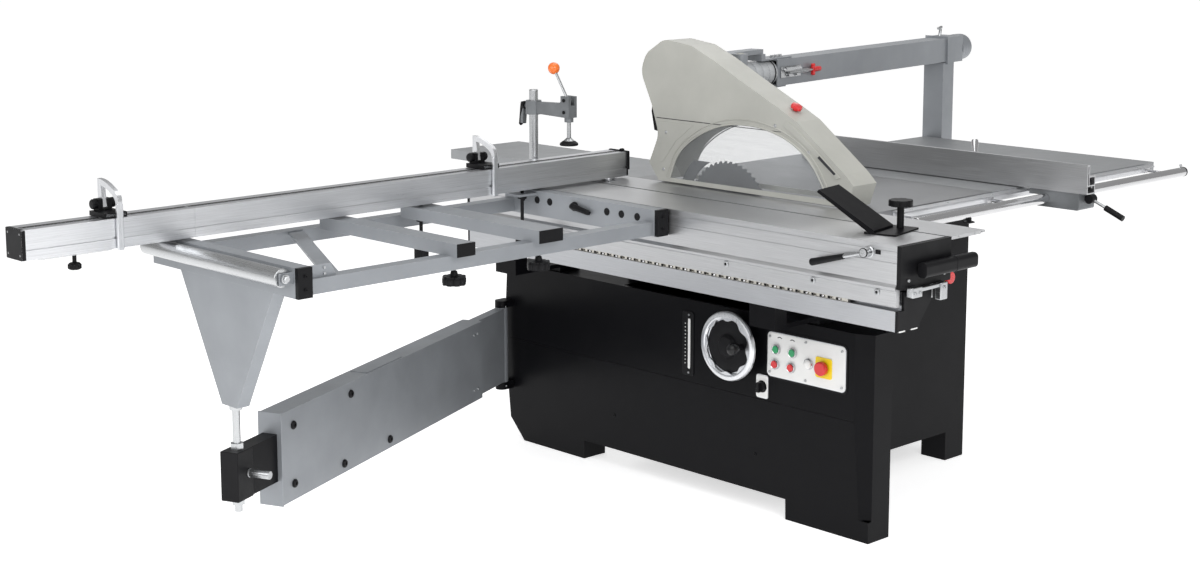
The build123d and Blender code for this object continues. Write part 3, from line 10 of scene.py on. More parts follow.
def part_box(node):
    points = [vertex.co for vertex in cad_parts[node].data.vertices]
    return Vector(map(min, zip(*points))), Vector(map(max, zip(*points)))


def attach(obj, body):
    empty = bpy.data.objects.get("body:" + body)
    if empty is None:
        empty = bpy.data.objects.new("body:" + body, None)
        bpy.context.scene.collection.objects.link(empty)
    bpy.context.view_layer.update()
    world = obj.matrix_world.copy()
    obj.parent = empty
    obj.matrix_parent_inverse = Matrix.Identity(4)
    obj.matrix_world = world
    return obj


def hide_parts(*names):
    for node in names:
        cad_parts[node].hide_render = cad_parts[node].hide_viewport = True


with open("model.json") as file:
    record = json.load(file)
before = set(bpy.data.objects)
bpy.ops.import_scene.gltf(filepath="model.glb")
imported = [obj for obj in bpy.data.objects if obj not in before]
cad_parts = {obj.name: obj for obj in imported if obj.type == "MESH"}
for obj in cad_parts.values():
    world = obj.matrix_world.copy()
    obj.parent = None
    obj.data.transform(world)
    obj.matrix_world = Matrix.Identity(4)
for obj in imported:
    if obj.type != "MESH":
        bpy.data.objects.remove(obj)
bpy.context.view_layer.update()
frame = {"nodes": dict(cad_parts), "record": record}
NODES = frame["nodes"]

# The datum corner in this frame: the sliding table's left face, front end and top.
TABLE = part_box("sliding_table")
TABLE_WIDTH = 0.345
TABLE_LENGTH = 1.6
DATUM = Vector((TABLE[1][0] - TABLE_WIDTH, TABLE[1][1] - TABLE_LENGTH, TABLE[1][2]))


def at(x, y, z):
    """A point in metres, from its place in millimetres beside the datum corner."""
    return DATUM + Vector((x, y, z)) / 1000


# ---------------------------------------------------------------- camera
camera = bpy.data.objects.new("camera", bpy.data.cameras.new("camera"))
bpy.context.collection.objects.link(camera)
bpy.context.scene.camera = camera
camera.location = at(-3734.8, -2848.9, 856.5)
camera.data.sensor_width = 36
camera.data.lens = 58.62
camera.data.shift_y = -0.080
CAMERA_YAW = radians(43.87)
CAMERA_PITCH = radians(-9.0)
camera.rotation_euler = (pi / 2 + CAMERA_PITCH, 0, -CAMERA_YAW)


# ---------------------------------------------------------------- materials
def nodes_of(name):
    """A new material with its node tree and its shader."""
    material = bpy.data.materials.new(name)
    material.use_nodes = True
    tree = material.node_tree
    shader = tree.nodes["Principled BSDF"]
    return material, tree, shader


def link(tree, a, output, b, socket):
    tree.links.new(a.outputs[output], b.inputs[socket])


def noise(tree, scale, detail=4.0, stretch=(1, 1, 1), rough=0.5):
    """Noise on object coordinates, squeezed or stretched along the axes."""
    place = tree.nodes.new("ShaderNodeTexCoord")
    mapping = tree.nodes.new("ShaderNodeMapping")
    mapping.inputs["Scale"].default_value = stretch
    field = tree.nodes.new("ShaderNodeTexNoise")
    field.inputs["Scale"].default_value = scale
    field.inputs["Detail"].default_value = detail
    field.inputs["Roughness"].default_value = rough
    link(tree, place, "Object", mapping, "Vector")
    link(tree, mapping, "Vector", field, "Vector")
    return field


def ramp(tree, source, output, low, high, a, b):
    """A number between a and b as the source goes from low to high."""
    node = tree.nodes.new("ShaderNodeMapRange")
    node.inputs["From Min"].default_value = low
    node.inputs["From Max"].default_value = high
    node.inputs["To Min"].default_value = a
    node.inputs["To Max"].default_value = b
    link(tree, source, output, node, "Value")
    return node


def blend_colour(tree, factor, factor_out, dark, light):
    """A colour between dark and light as the factor goes from 0 to 1."""
    node = tree.nodes.new("ShaderNodeMix")
    node.data_type = "RGBA"
    node.inputs["A"].default_value = (*dark, 1)
    node.inputs["B"].default_value = (*light, 1)
    link(tree, factor, factor_out, node, "Factor")
    return node


def shades(colour, dark, light):
    """A darker and a lighter version of the colour."""
    return [c * dark for c in colour], [min(1, c * light) for c in colour]


def edge_wear(tree, radius=0.0016):
    """High along outer edges, 0 elsewhere, and patchy: the rounded normal leaves the flat one there."""
    soft = tree.nodes.new("ShaderNodeBevel")
    soft.samples = 4
    soft.inputs["Radius"].default_value = radius
    geometry = tree.nodes.new("ShaderNodeNewGeometry")
    same = tree.nodes.new("ShaderNodeVectorMath")
    same.operation = "DOT_PRODUCT"
    link(tree, soft, "Normal", same, 0)
    tree.links.new(geometry.outputs["Normal"], same.inputs[1])
    edge = ramp(tree, same, "Value", 0.985, 0.86, 0, 0.8)
    patch = ramp(tree, noise(tree, 60, 3), "Fac", 0.4, 0.6, 0, 1)
    both = tree.nodes.new("ShaderNodeMath")
    both.operation = "MULTIPLY"
    link(tree, edge, "Result", both, 0)
    tree.links.new(patch.outputs["Result"], both.inputs[1])
    return both


def bump(tree, shader, source, output, strength, distance):
    node = tree.nodes.new("ShaderNodeBump")
    node.inputs["Strength"].default_value = strength
    node.inputs["Distance"].default_value = distance
    link(tree, source, output, node, "Height")
    link(tree, node, "Normal", shader, "Normal")


def paint(name, colour, roughness, peel=0.12, metal=0.0, worn=(0.35, 0.36, 0.37), mirror=0.5):
    """Powder coat: orange peel, faint mottling, and edges rubbed a little."""
    material, tree, shader = nodes_of(name)
    mottle = ramp(tree, noise(tree, 7, 5), "Fac", 0.3, 0.7, 0, 1)
    base = blend_colour(tree, mottle, "Result", *shades(colour, 0.93, 1.06))
    rub = tree.nodes.new("ShaderNodeMix")
    rub.data_type = "RGBA"
    rub.inputs["B"].default_value = (*worn, 1)
    link(tree, base, "Result", rub, "A")
    link(tree, edge_wear(tree), "Value", rub, "Factor")
    link(tree, rub, "Result", shader, "Base Color")
    handled = noise(tree, 11, 6, rough=0.65)
    smear = ramp(tree, handled, "Fac", 0.3, 0.75, roughness * 0.85, min(1, roughness * 1.25))
    link(tree, smear, "Result", shader, "Roughness")
    shader.inputs["Metallic"].default_value = metal
    shader.inputs["Specular IOR Level"].default_value = mirror
    bump(tree, shader, noise(tree, 420, 2), "Fac", peel, 0.0004)
    return material


def brushed(name, colour, roughness, along, fine=900, strength=0.18, spots=0.0, metal=1.0):
    """Metal with grain along one axis; spots darkens it in patches, like oil and handling."""
    material, tree, shader = nodes_of(name)
    stretch = [1.0, 1.0, 1.0]
    stretch["xyz".index(along)] = 0.012
    grain = noise(tree, fine, 3, tuple(stretch), 0.6)
    tone = ramp(tree, grain, "Fac", 0.3, 0.7, 0, 1)
    base = blend_colour(tree, tone, "Result", *shades(colour, 0.86, 1.08))
    cloud = ramp(tree, noise(tree, 5, 6, rough=0.7), "Fac", 0.35, 0.75, 0, spots)
    stain = tree.nodes.new("ShaderNodeMix")
    stain.data_type = "RGBA"
    stain.inputs["B"].default_value = (*[c * 0.6 for c in colour], 1)
    link(tree, base, "Result", stain, "A")
    link(tree, cloud, "Result", stain, "Factor")
    link(tree, stain, "Result", shader, "Base Color")
    gloss = ramp(tree, grain, "Fac", 0.25, 0.75, roughness * 0.8, min(1, roughness * 1.25))
    link(tree, gloss, "Result", shader, "Roughness")
    shader.inputs["Metallic"].default_value = metal
    bump(tree, shader, grain, "Fac", strength, 0.0003)
    return material


def cast(name, colour, roughness, metal=0.6):
    """Sand-cast metal under paint: coarse grain."""
    material, tree, shader = nodes_of(name)
    pits = noise(tree, 260, 5, rough=0.7)
    tone = ramp(tree, noise(tree, 14, 5), "Fac", 0.3, 0.7, 0, 1)
    base = blend_colour(tree, tone, "Result", *shades(colour, 0.82, 1.12))
    link(tree, base, "Result", shader, "Base Color")
    gloss = ramp(tree, pits, "Fac", 0.3, 0.7, roughness * 0.85, roughness * 1.15)
    link(tree, gloss, "Result", shader, "Roughness")
    shader.inputs["Metallic"].default_value = metal
    bump(tree, shader, pits, "Fac", 0.35, 0.0006)
    return material


def moulded(name, colour, roughness, grain=0.1, scale=650, coat=0.0, mirror=0.5):
    """Moulded plastic: fine texture and slight tone changes."""
    material, tree, shader = nodes_of(name)
    tone = ramp(tree, noise(tree, 9, 4), "Fac", 0.3, 0.7, 0, 1)
    dark = [c * 0.94 for c in colour]
    light = [min(1, c * 1.05 + 0.002) for c in colour]
    base = blend_colour(tree, tone, "Result", dark, light)
    link(tree, base, "Result", shader, "Base Color")
    gloss = ramp(tree, noise(tree, 24, 5), "Fac", 0.3, 0.7, roughness * 0.88, min(1, roughness * 1.15))
    link(tree, gloss, "Result", shader, "Roughness")
    shader.inputs["Specular IOR Level"].default_value = mirror
    shader.inputs["Coat Weight"].default_value = coat
    shader.inputs["Coat Roughness"].default_value = 0.1
    bump(tree, shader, noise(tree, scale, 3), "Fac", grain, 0.0003)
    return material


def clear(name, colour, alpha, roughness):
    """Clear sheet plastic with faint scratches."""
    material, tree, shader = nodes_of(name)
    shader.inputs["Base Color"].default_value = (*colour, 1)
    scratches = noise(tree, 90, 6, (1, 0.1, 1), 0.7)
    gloss = ramp(tree, scratches, "Fac", 0.4, 0.8, roughness, roughness + 0.12)
    link(tree, gloss, "Result", shader, "Roughness")
    haze = ramp(tree, scratches, "Fac", 0.35, 0.8, alpha, min(1, alpha + 0.05))
    link(tree, haze, "Result", shader, "Alpha")
    shader.inputs["Coat Weight"].default_value = 0.35
    shader.inputs["Coat Roughness"].default_value = 0.04
    material.blend_method = "BLEND"
    return material


LOOK = {
    "black_paint": paint("black_paint", (0.004, 0.004, 0.005), 0.34, 0.06,
                         worn=(0.014, 0.014, 0.015), mirror=0.09),
    "blue_paint": paint("blue_paint", (0.27, 0.285, 0.305), 0.42, 0.16, 0.35, worn=(0.45, 0.46, 0.48)),
    "grey_paint": paint("grey_paint", (0.34, 0.35, 0.36), 0.42, 0.1, 0.5, worn=(0.5, 0.5, 0.51)),
    "grey_rail": brushed("grey_rail", (0.50, 0.51, 0.53), 0.38, "y"),
    "cast_grey": cast("cast_grey", (0.20, 0.21, 0.22), 0.48),
    "cast_table": brushed("cast_table", (0.33, 0.335, 0.345), 0.40, "x", 500, 0.12, spots=0.25),
    "aluminium_y": brushed("aluminium_y", (0.56, 0.565, 0.575), 0.38, "y", 700, 0.14),
    "aluminium_x": brushed("aluminium_x", (0.72, 0.73, 0.75), 0.33, "x", 700, 0.14),
    "aluminium_z": brushed("aluminium_z", (0.74, 0.75, 0.77), 0.30, "z", 700, 0.14),
    "chrome_bar": brushed("chrome_bar", (0.62, 0.62, 0.63), 0.14, "x", 900, 0.04),
    "zinc_steel": brushed("zinc_steel", (0.52, 0.53, 0.54), 0.28, "y", 800, 0.1, spots=0.2),
    "blade_steel": brushed("blade_steel", (0.11, 0.114, 0.12), 0.42, "y", 900, 0.1, metal=0.35),
    "brass_cage": brushed("brass_cage", (0.62, 0.60, 0.55), 0.34, "y", 700, 0.1),
    "black_plastic": moulded("black_plastic", (0.006, 0.006, 0.007), 0.42, 0.10, mirror=0.14),
    "grip_plastic": moulded("grip_plastic", (0.006, 0.006, 0.007), 0.32, 0.05, coat=0.08, mirror=0.3),
    "beige_plastic": moulded("beige_plastic", (0.43, 0.43, 0.395), 0.42, 0.16, 380, coat=0.08),
    "clear_plastic": clear("clear_plastic", (0.54, 0.565, 0.585), 0.11, 0.08),
    "hose_plastic": clear("hose_plastic", (0.80, 0.82, 0.84), 0.42, 0.12),
    "orange_plastic": moulded("orange_plastic", (0.85, 0.17, 0.015), 0.2, 0.03, coat=0.5),
    "red_plastic": moulded("red_plastic", (0.62, 0.012, 0.015), 0.28, 0.05, coat=0.4),
    "green_plastic": moulded("green_plastic", (0.02, 0.30, 0.11), 0.28, 0.05, coat=0.4),
    "yellow_plastic": moulded("yellow_plastic", (0.85, 0.62, 0.01), 0.34, 0.06),
    "white_plastic": moulded("white_plastic", (0.75, 0.75, 0.74), 0.35, 0.05),
    "belt_rubber": moulded("belt_rubber", (0.02, 0.02, 0.02), 0.7, 0.2),
    "scale_ink": moulded("scale_ink", (0.03, 0.03, 0.035), 0.5, 0.04),
}
ALONG_X = {"crosscut_fence", "fence_extension", "scale_rail"}
ALONG_Z = {"stop_arm_left", "stop_arm_right", "control_plate"}
SLOT_OF = {part["node"]: part["material_slot"] for part in frame["record"]["subparts"]}
for node, obj in NODES.items():
    slot = SLOT_OF[node]
    if node == "rail_supports":
        slot = "black_paint"
    if node == "dust_duct":
        slot = "hose_plastic"
    if slot == "aluminium":
        slot = "aluminium_x" if node in ALONG_X else "aluminium_z" if node in ALONG_Z else "aluminium_y"
    for place in obj.material_slots:
        place.material = LOOK[slot]


# ---------------------------------------------------------------- builders of small fittings
def finish_piece(name, mesh, material, body, bevel=0.0, smooth=True):
    """Makes the mesh a piece that rides on the body; bevel is in metres."""
    obj = bpy.data.objects.new(name, mesh)
    bpy.context.collection.objects.link(obj)
    mesh.materials.append(LOOK[material])
    if bevel:
        soften = obj.modifiers.new("soften", "BEVEL")
        soften.width = bevel
        soften.segments = 3
        soften.limit_method = "ANGLE"
        soften.angle_limit = radians(35)
    if smooth:
        for polygon in mesh.polygons:
            polygon.use_smooth = True
        mesh.set_sharp_from_angle(angle=radians(32))
    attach(obj, body)
    return obj


def turn_to(direction):
    """Rotation that takes +Z to the direction."""
    return Vector((0, 0, 1)).rotation_difference(Vector(direction)).to_matrix().to_4x4()


def turned(name, start, direction, profile, material, body, sides=40, lobes=0, depth=0.0, bevel=0.0):
    """A turned piece: profile is (radius, distance along the axis) in mm; lobes ripple its radius."""
    mesh = bpy.data.meshes.new(name)
    form = bmesh.new()
    widest = max(radius for radius, _ in profile)
    rings = []
    for radius, along in profile:
        ring = []
        for index in range(sides):
            angle = 2 * pi * index / sides
            hollow = depth * max(0.0, cos(lobes * angle)) ** 2 if lobes and radius > 0.6 * widest else 0
            reach = radius * (1 - hollow)
            place = Vector((reach * cos(angle), reach * sin(angle), along)) / 1000
            ring.append(form.verts.new(place))
        rings.append(ring)
    for low, high in zip(rings, rings[1:]):
        for index in range(sides):
            step = (index + 1) % sides
            form.faces.new((low[index], low[step], high[step], high[index]))
    form.faces.new(rings[0][::-1])
    form.faces.new(rings[-1])
    bmesh.ops.transform(form, matrix=Matrix.Translation(at(*start)) @ turn_to(direction), verts=form.verts)
    form.to_mesh(mesh)
    form.free()
    return finish_piece(name, mesh, material, body, bevel)


def prism(name, points, low, high, plane, material, body, bevel=0.8):
    """An outline in mm extruded between two values of the third axis. plane is xy, yz or xz."""
    mesh = bpy.data.meshes.new(name)
    form = bmesh.new()
    spot = {
        "xy": lambda a, b, c: at(a, b, c),
        "yz": lambda a, b, c: at(c, a, b),
        "xz": lambda a, b, c: at(a, c, b),
    }[plane]
    lower = [form.verts.new(spot(a, b, low)) for a, b in points]
    upper = [form.verts.new(spot(a, b, high)) for a, b in points]
    form.faces.new(lower)
    form.faces.new(upper)
    for index in range(len(points)):
        step = (index + 1) % len(points)
        form.faces.new((lower[index], lower[step], upper[step], upper[index]))
    bmesh.ops.recalc_face_normals(form, faces=form.faces)
    form.to_mesh(mesh)
    form.free()
    return finish_piece(name, mesh, material, body, bevel / 1000)


def slab(name, xs, ys, zs, material, body, bevel=0.8):
    """A box between two values on each axis, in mm."""
    corners = [(xs[0], ys[0]), (xs[1], ys[0]), (xs[1], ys[1]), (xs[0], ys[1])]
    return prism(name, corners, zs[0], zs[1], "xy", material, body, bevel)


def rounded(centre, width, height, radius, steps=6):
    """Outline of a rounded rectangle."""
    points = []
    for sx, sy, begin in ((1, 1, 0), (-1, 1, 90), (-1, -1, 180), (1, -1, 270)):
        for step in range(steps + 1):
            angle = radians(begin + 90 * step / steps)
            points.append((centre[0] + sx * (width / 2 - radius) + radius * cos(angle),
                           centre[1] + sy * (height / 2 - radius) + radius * sin(angle)))
    return points


def socket_screw(name, start, direction, radius, material, body):
    """A cap screw with a hexagon socket."""
    turned(name, start, direction, [(radius, 0), (radius, radius * 0.8), (radius * 0.88, radius),
           (radius * 0.5, radius), (radius * 0.45, radius * 0.55)], material, body, sides=24)


WASHER = 1.8                        # thickness of the washers


def hexagon(name, start, direction, radius, height, material, body):
    """A hexagon nut or bolt head with a washer."""
    washer = [(radius * 1.35, 0), (radius * 1.35, 1.6), (radius * 1.2, WASHER)]
    turned(name + "_washer", start, direction, washer, material, body, sides=30)
    lifted = tuple(s + WASHER * d for s, d in zip(start, direction))
    head = [(radius, 0), (radius, height * 0.8), (radius * 0.85, height)]
    turned(name, lifted, direction, head, material, body, sides=6)


# ---------------------------------------------------------------- cabinet and controls
LEFT = (-1, 0, 0)
RIGHT = (1, 0, 0)
FORWARD = (0, -1, 0)
BACKWARD = (0, 1, 0)
UP = (0, 0, 1)
FACE = 209.0                        # left face of the control plate
PROUD = 0.8                         # how far thin plates stand off it
PANEL = (455.5, -402.5)             # middles on that face, as Y and Z
STOP = (392, -409)
LAMP = (444.0, -407.0)
SWITCH = (610, -500)
PANEL_SCREWS = ((330, -353), (330, -452), (455, -350), (455, -455), (582, -353), (582, -452))
BUTTONS = (("start_main", 558, -386), ("start_scoring", 500, -386),
           ("stop_main", 562, -428), ("stop_scoring", 505, -428))
BUTTON_COLLAR = [(14.6, -4.6), (14.8, 0), (13.6, 2.2), (12.4, 2.4), (11.0, 1.6), (10.8, 0)]
SCALE_FACE = 209.4                  # left face of the height scale's frame
SCALE_Y = 888
SCALE_Z = -427
FRONT_STOP = (970, 562, -291)
HINGE_SCREW_X = 184


def control_panel():
    """White face in a black rim, its screws, and what surrounds the buttons, lamp and switch."""
    prism("panel_face", rounded(PANEL, 271, 121, 12), FACE - PROUD, FACE, "yz",
          "white_plastic", "cabinet", 0.2)
    prism("panel_rim", rounded(PANEL, 285, 135, 17), FACE + 1.0, FACE + 2.9, "yz",
          "black_plastic", "cabinet", 0.4)
    for index, (y, z) in enumerate(PANEL_SCREWS):
        socket_screw(f"panel_screw_{index}", (FACE - PROUD, y, z), LEFT, 3.6, "zinc_steel", "cabinet")
    for name, y, z in BUTTONS:
        turned(name + "_collar", (FACE - 6, y, z), LEFT, BUTTON_COLLAR, "chrome_bar", "cabinet")
    turned("lamp_collar", (FACE - PROUD, *LAMP), LEFT, [(15, 0), (15, 5), (13.8, 6.8), (12.4, 6.9)],
           "chrome_bar", "cabinet")
    turned("lamp_lens", (FACE - 6, *LAMP), LEFT, [(12, 0), (12, 4), (9.5, 6.8), (5, 8.2), (0.6, 8.6)],
           "white_plastic", "cabinet")
    prism("stop_plate", rounded(STOP, 56, 56, 6), FACE - 3.4, FACE - PROUD, "yz",
          "yellow_plastic", "cabinet", 0.5)
    turned("stop_collar", (FACE - 3.4, *STOP), LEFT, [(15, 0), (14.5, 3.2), (13, 3.8), (9.8, 3.9)],
           "black_plastic", "cabinet")
    prism("switch_plate", rounded(SWITCH, 42, 62, 7), FACE - PROUD, FACE, "yz",
          "white_plastic", "cabinet", 0.2)
    turned("switch_ring", (FACE - 0.9, *SWITCH), LEFT, [(17, 0), (17, 0.1), (16.9, 0.14)],
           "black_plastic", "cabinet")
    for name, y in (("tilt_mark", 548.0), ("rise_mark", 503.0)):
        arc = [(y - 9, -354), (y - 3, -350.5), (y + 3, -350.5), (y + 9, -354),
               (y + 6, -355), (y, -352.6), (y - 6, -355)]
        prism(name, arc, FACE - 1.0, FACE - 0.7, "yz", "scale_ink", "cabinet", 0)


def height_scale():
    """Upright window beside the handwheel, with a row of dots."""
    prism("height_frame", rounded((SCALE_Y + 5, SCALE_Z), 44, 186, 8), SCALE_FACE, 212, "yz",
          "black_plastic", "cabinet", 0.6)
    prism("height_window", rounded((SCALE_Y, SCALE_Z), 9, 146, 4), 208.9, 209.5, "yz",
          "white_plastic", "cabinet", 0.2)
    for index in range(12):
        turned(f"height_dot_{index}", (SCALE_FACE, SCALE_Y + 15, -370 - index * 10.5), LEFT,
               [(1.7, 0), (1.6, 0.5)], "white_plastic", "cabinet", sides=12)
    for index, z in enumerate((-343, -511)):
        socket_screw(f"height_screw_{index}", (SCALE_FACE, SCALE_Y, z), LEFT, 3, "zinc_steel", "cabinet")


def front_stop():
    """Yellow base with three wings around the emergency stop on the cabinet's front."""
    x, y, z = FRONT_STOP
    turned("front_stop_body", FRONT_STOP, FORWARD, [(21, 0), (21, 4), (18, 8), (14, 9), (9.8, 9.2)],
           "yellow_plastic", "cabinet")
    for turn in (0, 120, 240):
        wing = Matrix.Rotation(radians(turn), 3, "Y") @ Vector((0, 0, 1))
        turned(f"front_stop_wing_{turn}", (x + 17 * wing.x, y - 6, z + 17 * wing.z), tuple(wing),
               [(9, 0), (6.5, 6), (3, 9), (1, 9.6)], "yellow_plastic", "cabinet", sides=20)


def cabinet_screws():
    for index, (y, z) in enumerate(((640, -700), (1200, -700))):
        socket_screw(f"cover_screw_{index}", (219, y, z), LEFT, 5, "black_plastic", "cabinet")
    for z, raised in ((-448, 14), (-688, 0)):
        for y in (1652, 1686):
            socket_screw(f"hinge_screw_{y}_{-z}", (HINGE_SCREW_X, y, z + raised), LEFT, 5,
                         "zinc_steel", "cabinet")


control_panel()
height_scale()
front_stop()
cabinet_screws()

# ---------------------------------------------------------------- handwheel
WHEEL_X, WHEEL_Y, WHEEL_Z = 158.0, 700.0, -395.0
WHEEL_STEPS = 96
FINGERS = 8                         # scallops around the rim's inside
RIM_PROFILE = [(92, -9.4), (97.6, -4), (98, 2), (95, 7.4), (89, 10), (83, 9.4), (78, 5), (77, -1)]
DISH_PROFILE = [(76, 0), (74, 5), (60, 7), (44, 6), (34, 6), (30, 13), (26, 17), (8, 18), (2, 18)]


def around_wheel(radius, angle):
    return at(WHEEL_X + 1.5, WHEEL_Y + radius * cos(angle), WHEEL_Z + radius * sin(angle))


def wheel_scallops():
    """Flat ring whose inner edge has a hollow for each finger."""
    mesh = bpy.data.meshes.new("wheel_scallops")
    form = bmesh.new()
    angles = [2 * pi * index / WHEEL_STEPS for index in range(WHEEL_STEPS)]
    outer = [form.verts.new(around_wheel(84, angle)) for angle in angles]
    inner = [form.verts.new(around_wheel(76 - 5.5 * cos(FINGERS * angle), angle)) for angle in angles]
    for index in range(WHEEL_STEPS):
        step = (index + 1) % WHEEL_STEPS
        form.faces.new((outer[index], outer[step], inner[step], inner[index]))
    solid = bmesh.ops.extrude_face_region(form, geom=form.faces[:])
    for vert in [v for v in solid["geom"] if isinstance(v, bmesh.types.BMVert)]:
        vert.co.x += 0.006
    bmesh.ops.recalc_face_normals(form, faces=form.faces)
    form.to_mesh(mesh)
    form.free()
    finish_piece("wheel_scallops", mesh, "aluminium_z", "raise_wheel", 0.001)


def handwheel():
    """Bright rim with finger hollows, dished black centre and a crank knob."""
    rim = turned("wheel_rim", (WHEEL_X + 9, WHEEL_Y, WHEEL_Z), LEFT, RIM_PROFILE,
                 "aluminium_z", "raise_wheel", sides=WHEEL_STEPS)
    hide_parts("handwheel")
    turned("wheel_hub", (FACE, WHEEL_Y, WHEEL_Z), LEFT, [(24, -1), (24, 0), (22, 30), (14, 38), (12, 44)],
           "zinc_steel", "raise_wheel")
    wheel_scallops()
    turned("wheel_dish", (WHEEL_X + 14, WHEEL_Y, WHEEL_Z), LEFT, DISH_PROFILE,
           "black_plastic", "raise_wheel", sides=64)
    turned("wheel_knob", (WHEEL_X + 4, WHEEL_Y - 52, WHEEL_Z + 6), LEFT,
           [(9, 0), (8, 8), (15, 20), (17, 32), (15, 42), (9, 47), (2, 48)],
           "grip_plastic", "raise_wheel", sides=32)


handwheel()

# ---------------------------------------------------------------- sliding table and base rail
SKIRT_BOLT = [(8.2, 0), (8.2, 2.2), (6.8, 3.2), (4.2, 3.2), (4.0, 1.4)]
SKIRT_BOLT_Z = -122
LEVER_Y = 84
LEVER_Z = -25
LEVER_DROP = radians(15.5)
CAGE_START = 163.5
CAGE_PITCH = 26.5
CAGE_Z = -157.6
LOCK_Z = -118


def skirt_fittings():
    for index, y in enumerate((58.0, 262.0, 558.0)):
        turned(f"skirt_bolt_{index}", (-0.2, y, SKIRT_BOLT_Z), LEFT, SKIRT_BOLT,
               "zinc_steel", "carriage", sides=28)
        # Painted shade: black hexagon sheets in the skirt bolts' sockets stand in for the shade inside the
        # hex recess.
        turned(f"skirt_socket_shade_{index}", (-1.4, y, SKIRT_BOLT_Z), LEFT, [(4.1, 0), (4.0, 0.5)],
               "black_plastic", "carriage", sides=6)
    # Painted shade: a black slab on the skirt stands in for the shade inside its slot.
    slab("skirt_slot_shade", (-1.0, 1.0), (50, 66), (-28, -17), "black_plastic", "carriage", 0.5)


def slide_lock():
    """Washer on the skirt, and the lever's round hub and bright rod."""
    turned("lever_washer", (-0.3, LEVER_Y, LEVER_Z), LEFT, [(15, 0), (15, 3), (13, 4.2)],
           "zinc_steel", "carriage")
    drop = (0, cos(LEVER_DROP), -sin(LEVER_DROP))
    turned("lever_rod", (-17, LEVER_Y, LEVER_Z), drop, [(5.0, 6), (5.2, 12), (5.2, 70)],
           "zinc_steel", "slide_lock", sides=24)
    turned("lever_hub", (-0.5, LEVER_Y, LEVER_Z), LEFT, [(12.3, 0), (12.3, 22), (10.5, 26.4), (4, 26.6)],
           "zinc_steel", "slide_lock", sides=32)


def cage_rollers():
    """Painted shade: black slabs in the windows along the roller cage stand in for the shade inside them; a
    roller sits in every other stretch.
    """
    for index in range(48):
        y = CAGE_START + index * CAGE_PITCH
        if index % 2 == 0:
            turned(f"cage_roller_{index}", (1.2, y + 13.5, CAGE_Z), LEFT,
                   [(3.3, -4), (3.3, 0), (2.6, 0.9), (1.2, 0.9)], "chrome_bar", "cage", sides=16)
        # painted shade: a black slab where the window's inside is shaded
        slab(f"cage_window_shade_{index}", (0.6, 1.8), (y + 17, y + 24), (CAGE_Z - 3, CAGE_Z + 3),
             "black_plastic", "cage", 0.2)


def front_lock():
    """Bright bolt and bracket below the table's front end."""
    slab("lock_bar", (44, 150), (-26, -16), (LOCK_Z, LOCK_Z + 10), "zinc_steel", "carriage", 2.0)
    slab("lock_base", (26, 66), (-30, -10), (LOCK_Z - 12, LOCK_Z + 14), "zinc_steel", "carriage", 2.5)
    slab("lock_hook", (140, 168), (-30, -12), (LOCK_Z - 32, LOCK_Z + 12), "zinc_steel", "carriage", 2.5)
    for index, x in enumerate((36.0, 56.0, 154.0)):
        socket_screw(f"lock_screw_{index}", (x, -29.6, LOCK_Z), FORWARD, 4, "zinc_steel", "carriage")


def slide_front():
    for index, x in enumerate((15.0, 64.0)):
        slab(f"rail_cap_lip_{index}", (x - 12, x + 12), (-9.5, -2), (-214.5, -211),
             "white_plastic", "cabinet", 0.5)
    front_lock()
    prism("handle_joint", rounded((-31, -64), 29, 39, 11), 186, 190, "yz", "black_plastic", "carriage", 0.3)
    for x in (30, 173):
        socket_screw(f"cap_screw_{x}", (x, -12, -88), FORWARD, 4, "zinc_steel", "carriage")
    for x in (232, 300, 330):
        socket_screw(f"front_screw_{x}", (x, -11.5, -3), FORWARD, 2.2, "zinc_steel", "carriage")


skirt_fittings()
slide_lock()
cage_rollers()
slide_front()

# ---------------------------------------------------------------- outrigger
BEAM_LEFT = -45                     # left face of the beam along the sliding table
BEAM_Z = -26
LEG = (-1191.0, 1068.0)             # the leg's axis
UNDER_KNOB = [(20, -1), (27, 1), (30, 6), (30, 16), (25, 21), (10, 24), (8, 34)]


def beam_fittings():
    for index, y in enumerate((1309.0, 1248.0, 1195.0, 962.0, 905.0, 844.0)):
        turned(f"tube_plug_{index}", (BEAM_LEFT, y, BEAM_Z), LEFT,
               [(10.5, 0), (10.3, 1.2), (8.6, 1.8), (7.6, 0.9), (2, 0.8)],
               "black_plastic", "carriage", sides=28)
    turned("ratchet_hub", (BEAM_LEFT, 1090, BEAM_Z), LEFT, [(13, 0), (13, 5), (10, 10), (4, 12)],
           "black_plastic", "carriage")
    turned("ratchet_grip", (BEAM_LEFT - 9, 1088, BEAM_Z), (0, -0.985, -0.17),
           [(8.5, -8), (9.5, 0), (8, 30), (7.5, 58), (5, 66), (1, 68)],
           "black_plastic", "carriage", sides=24)


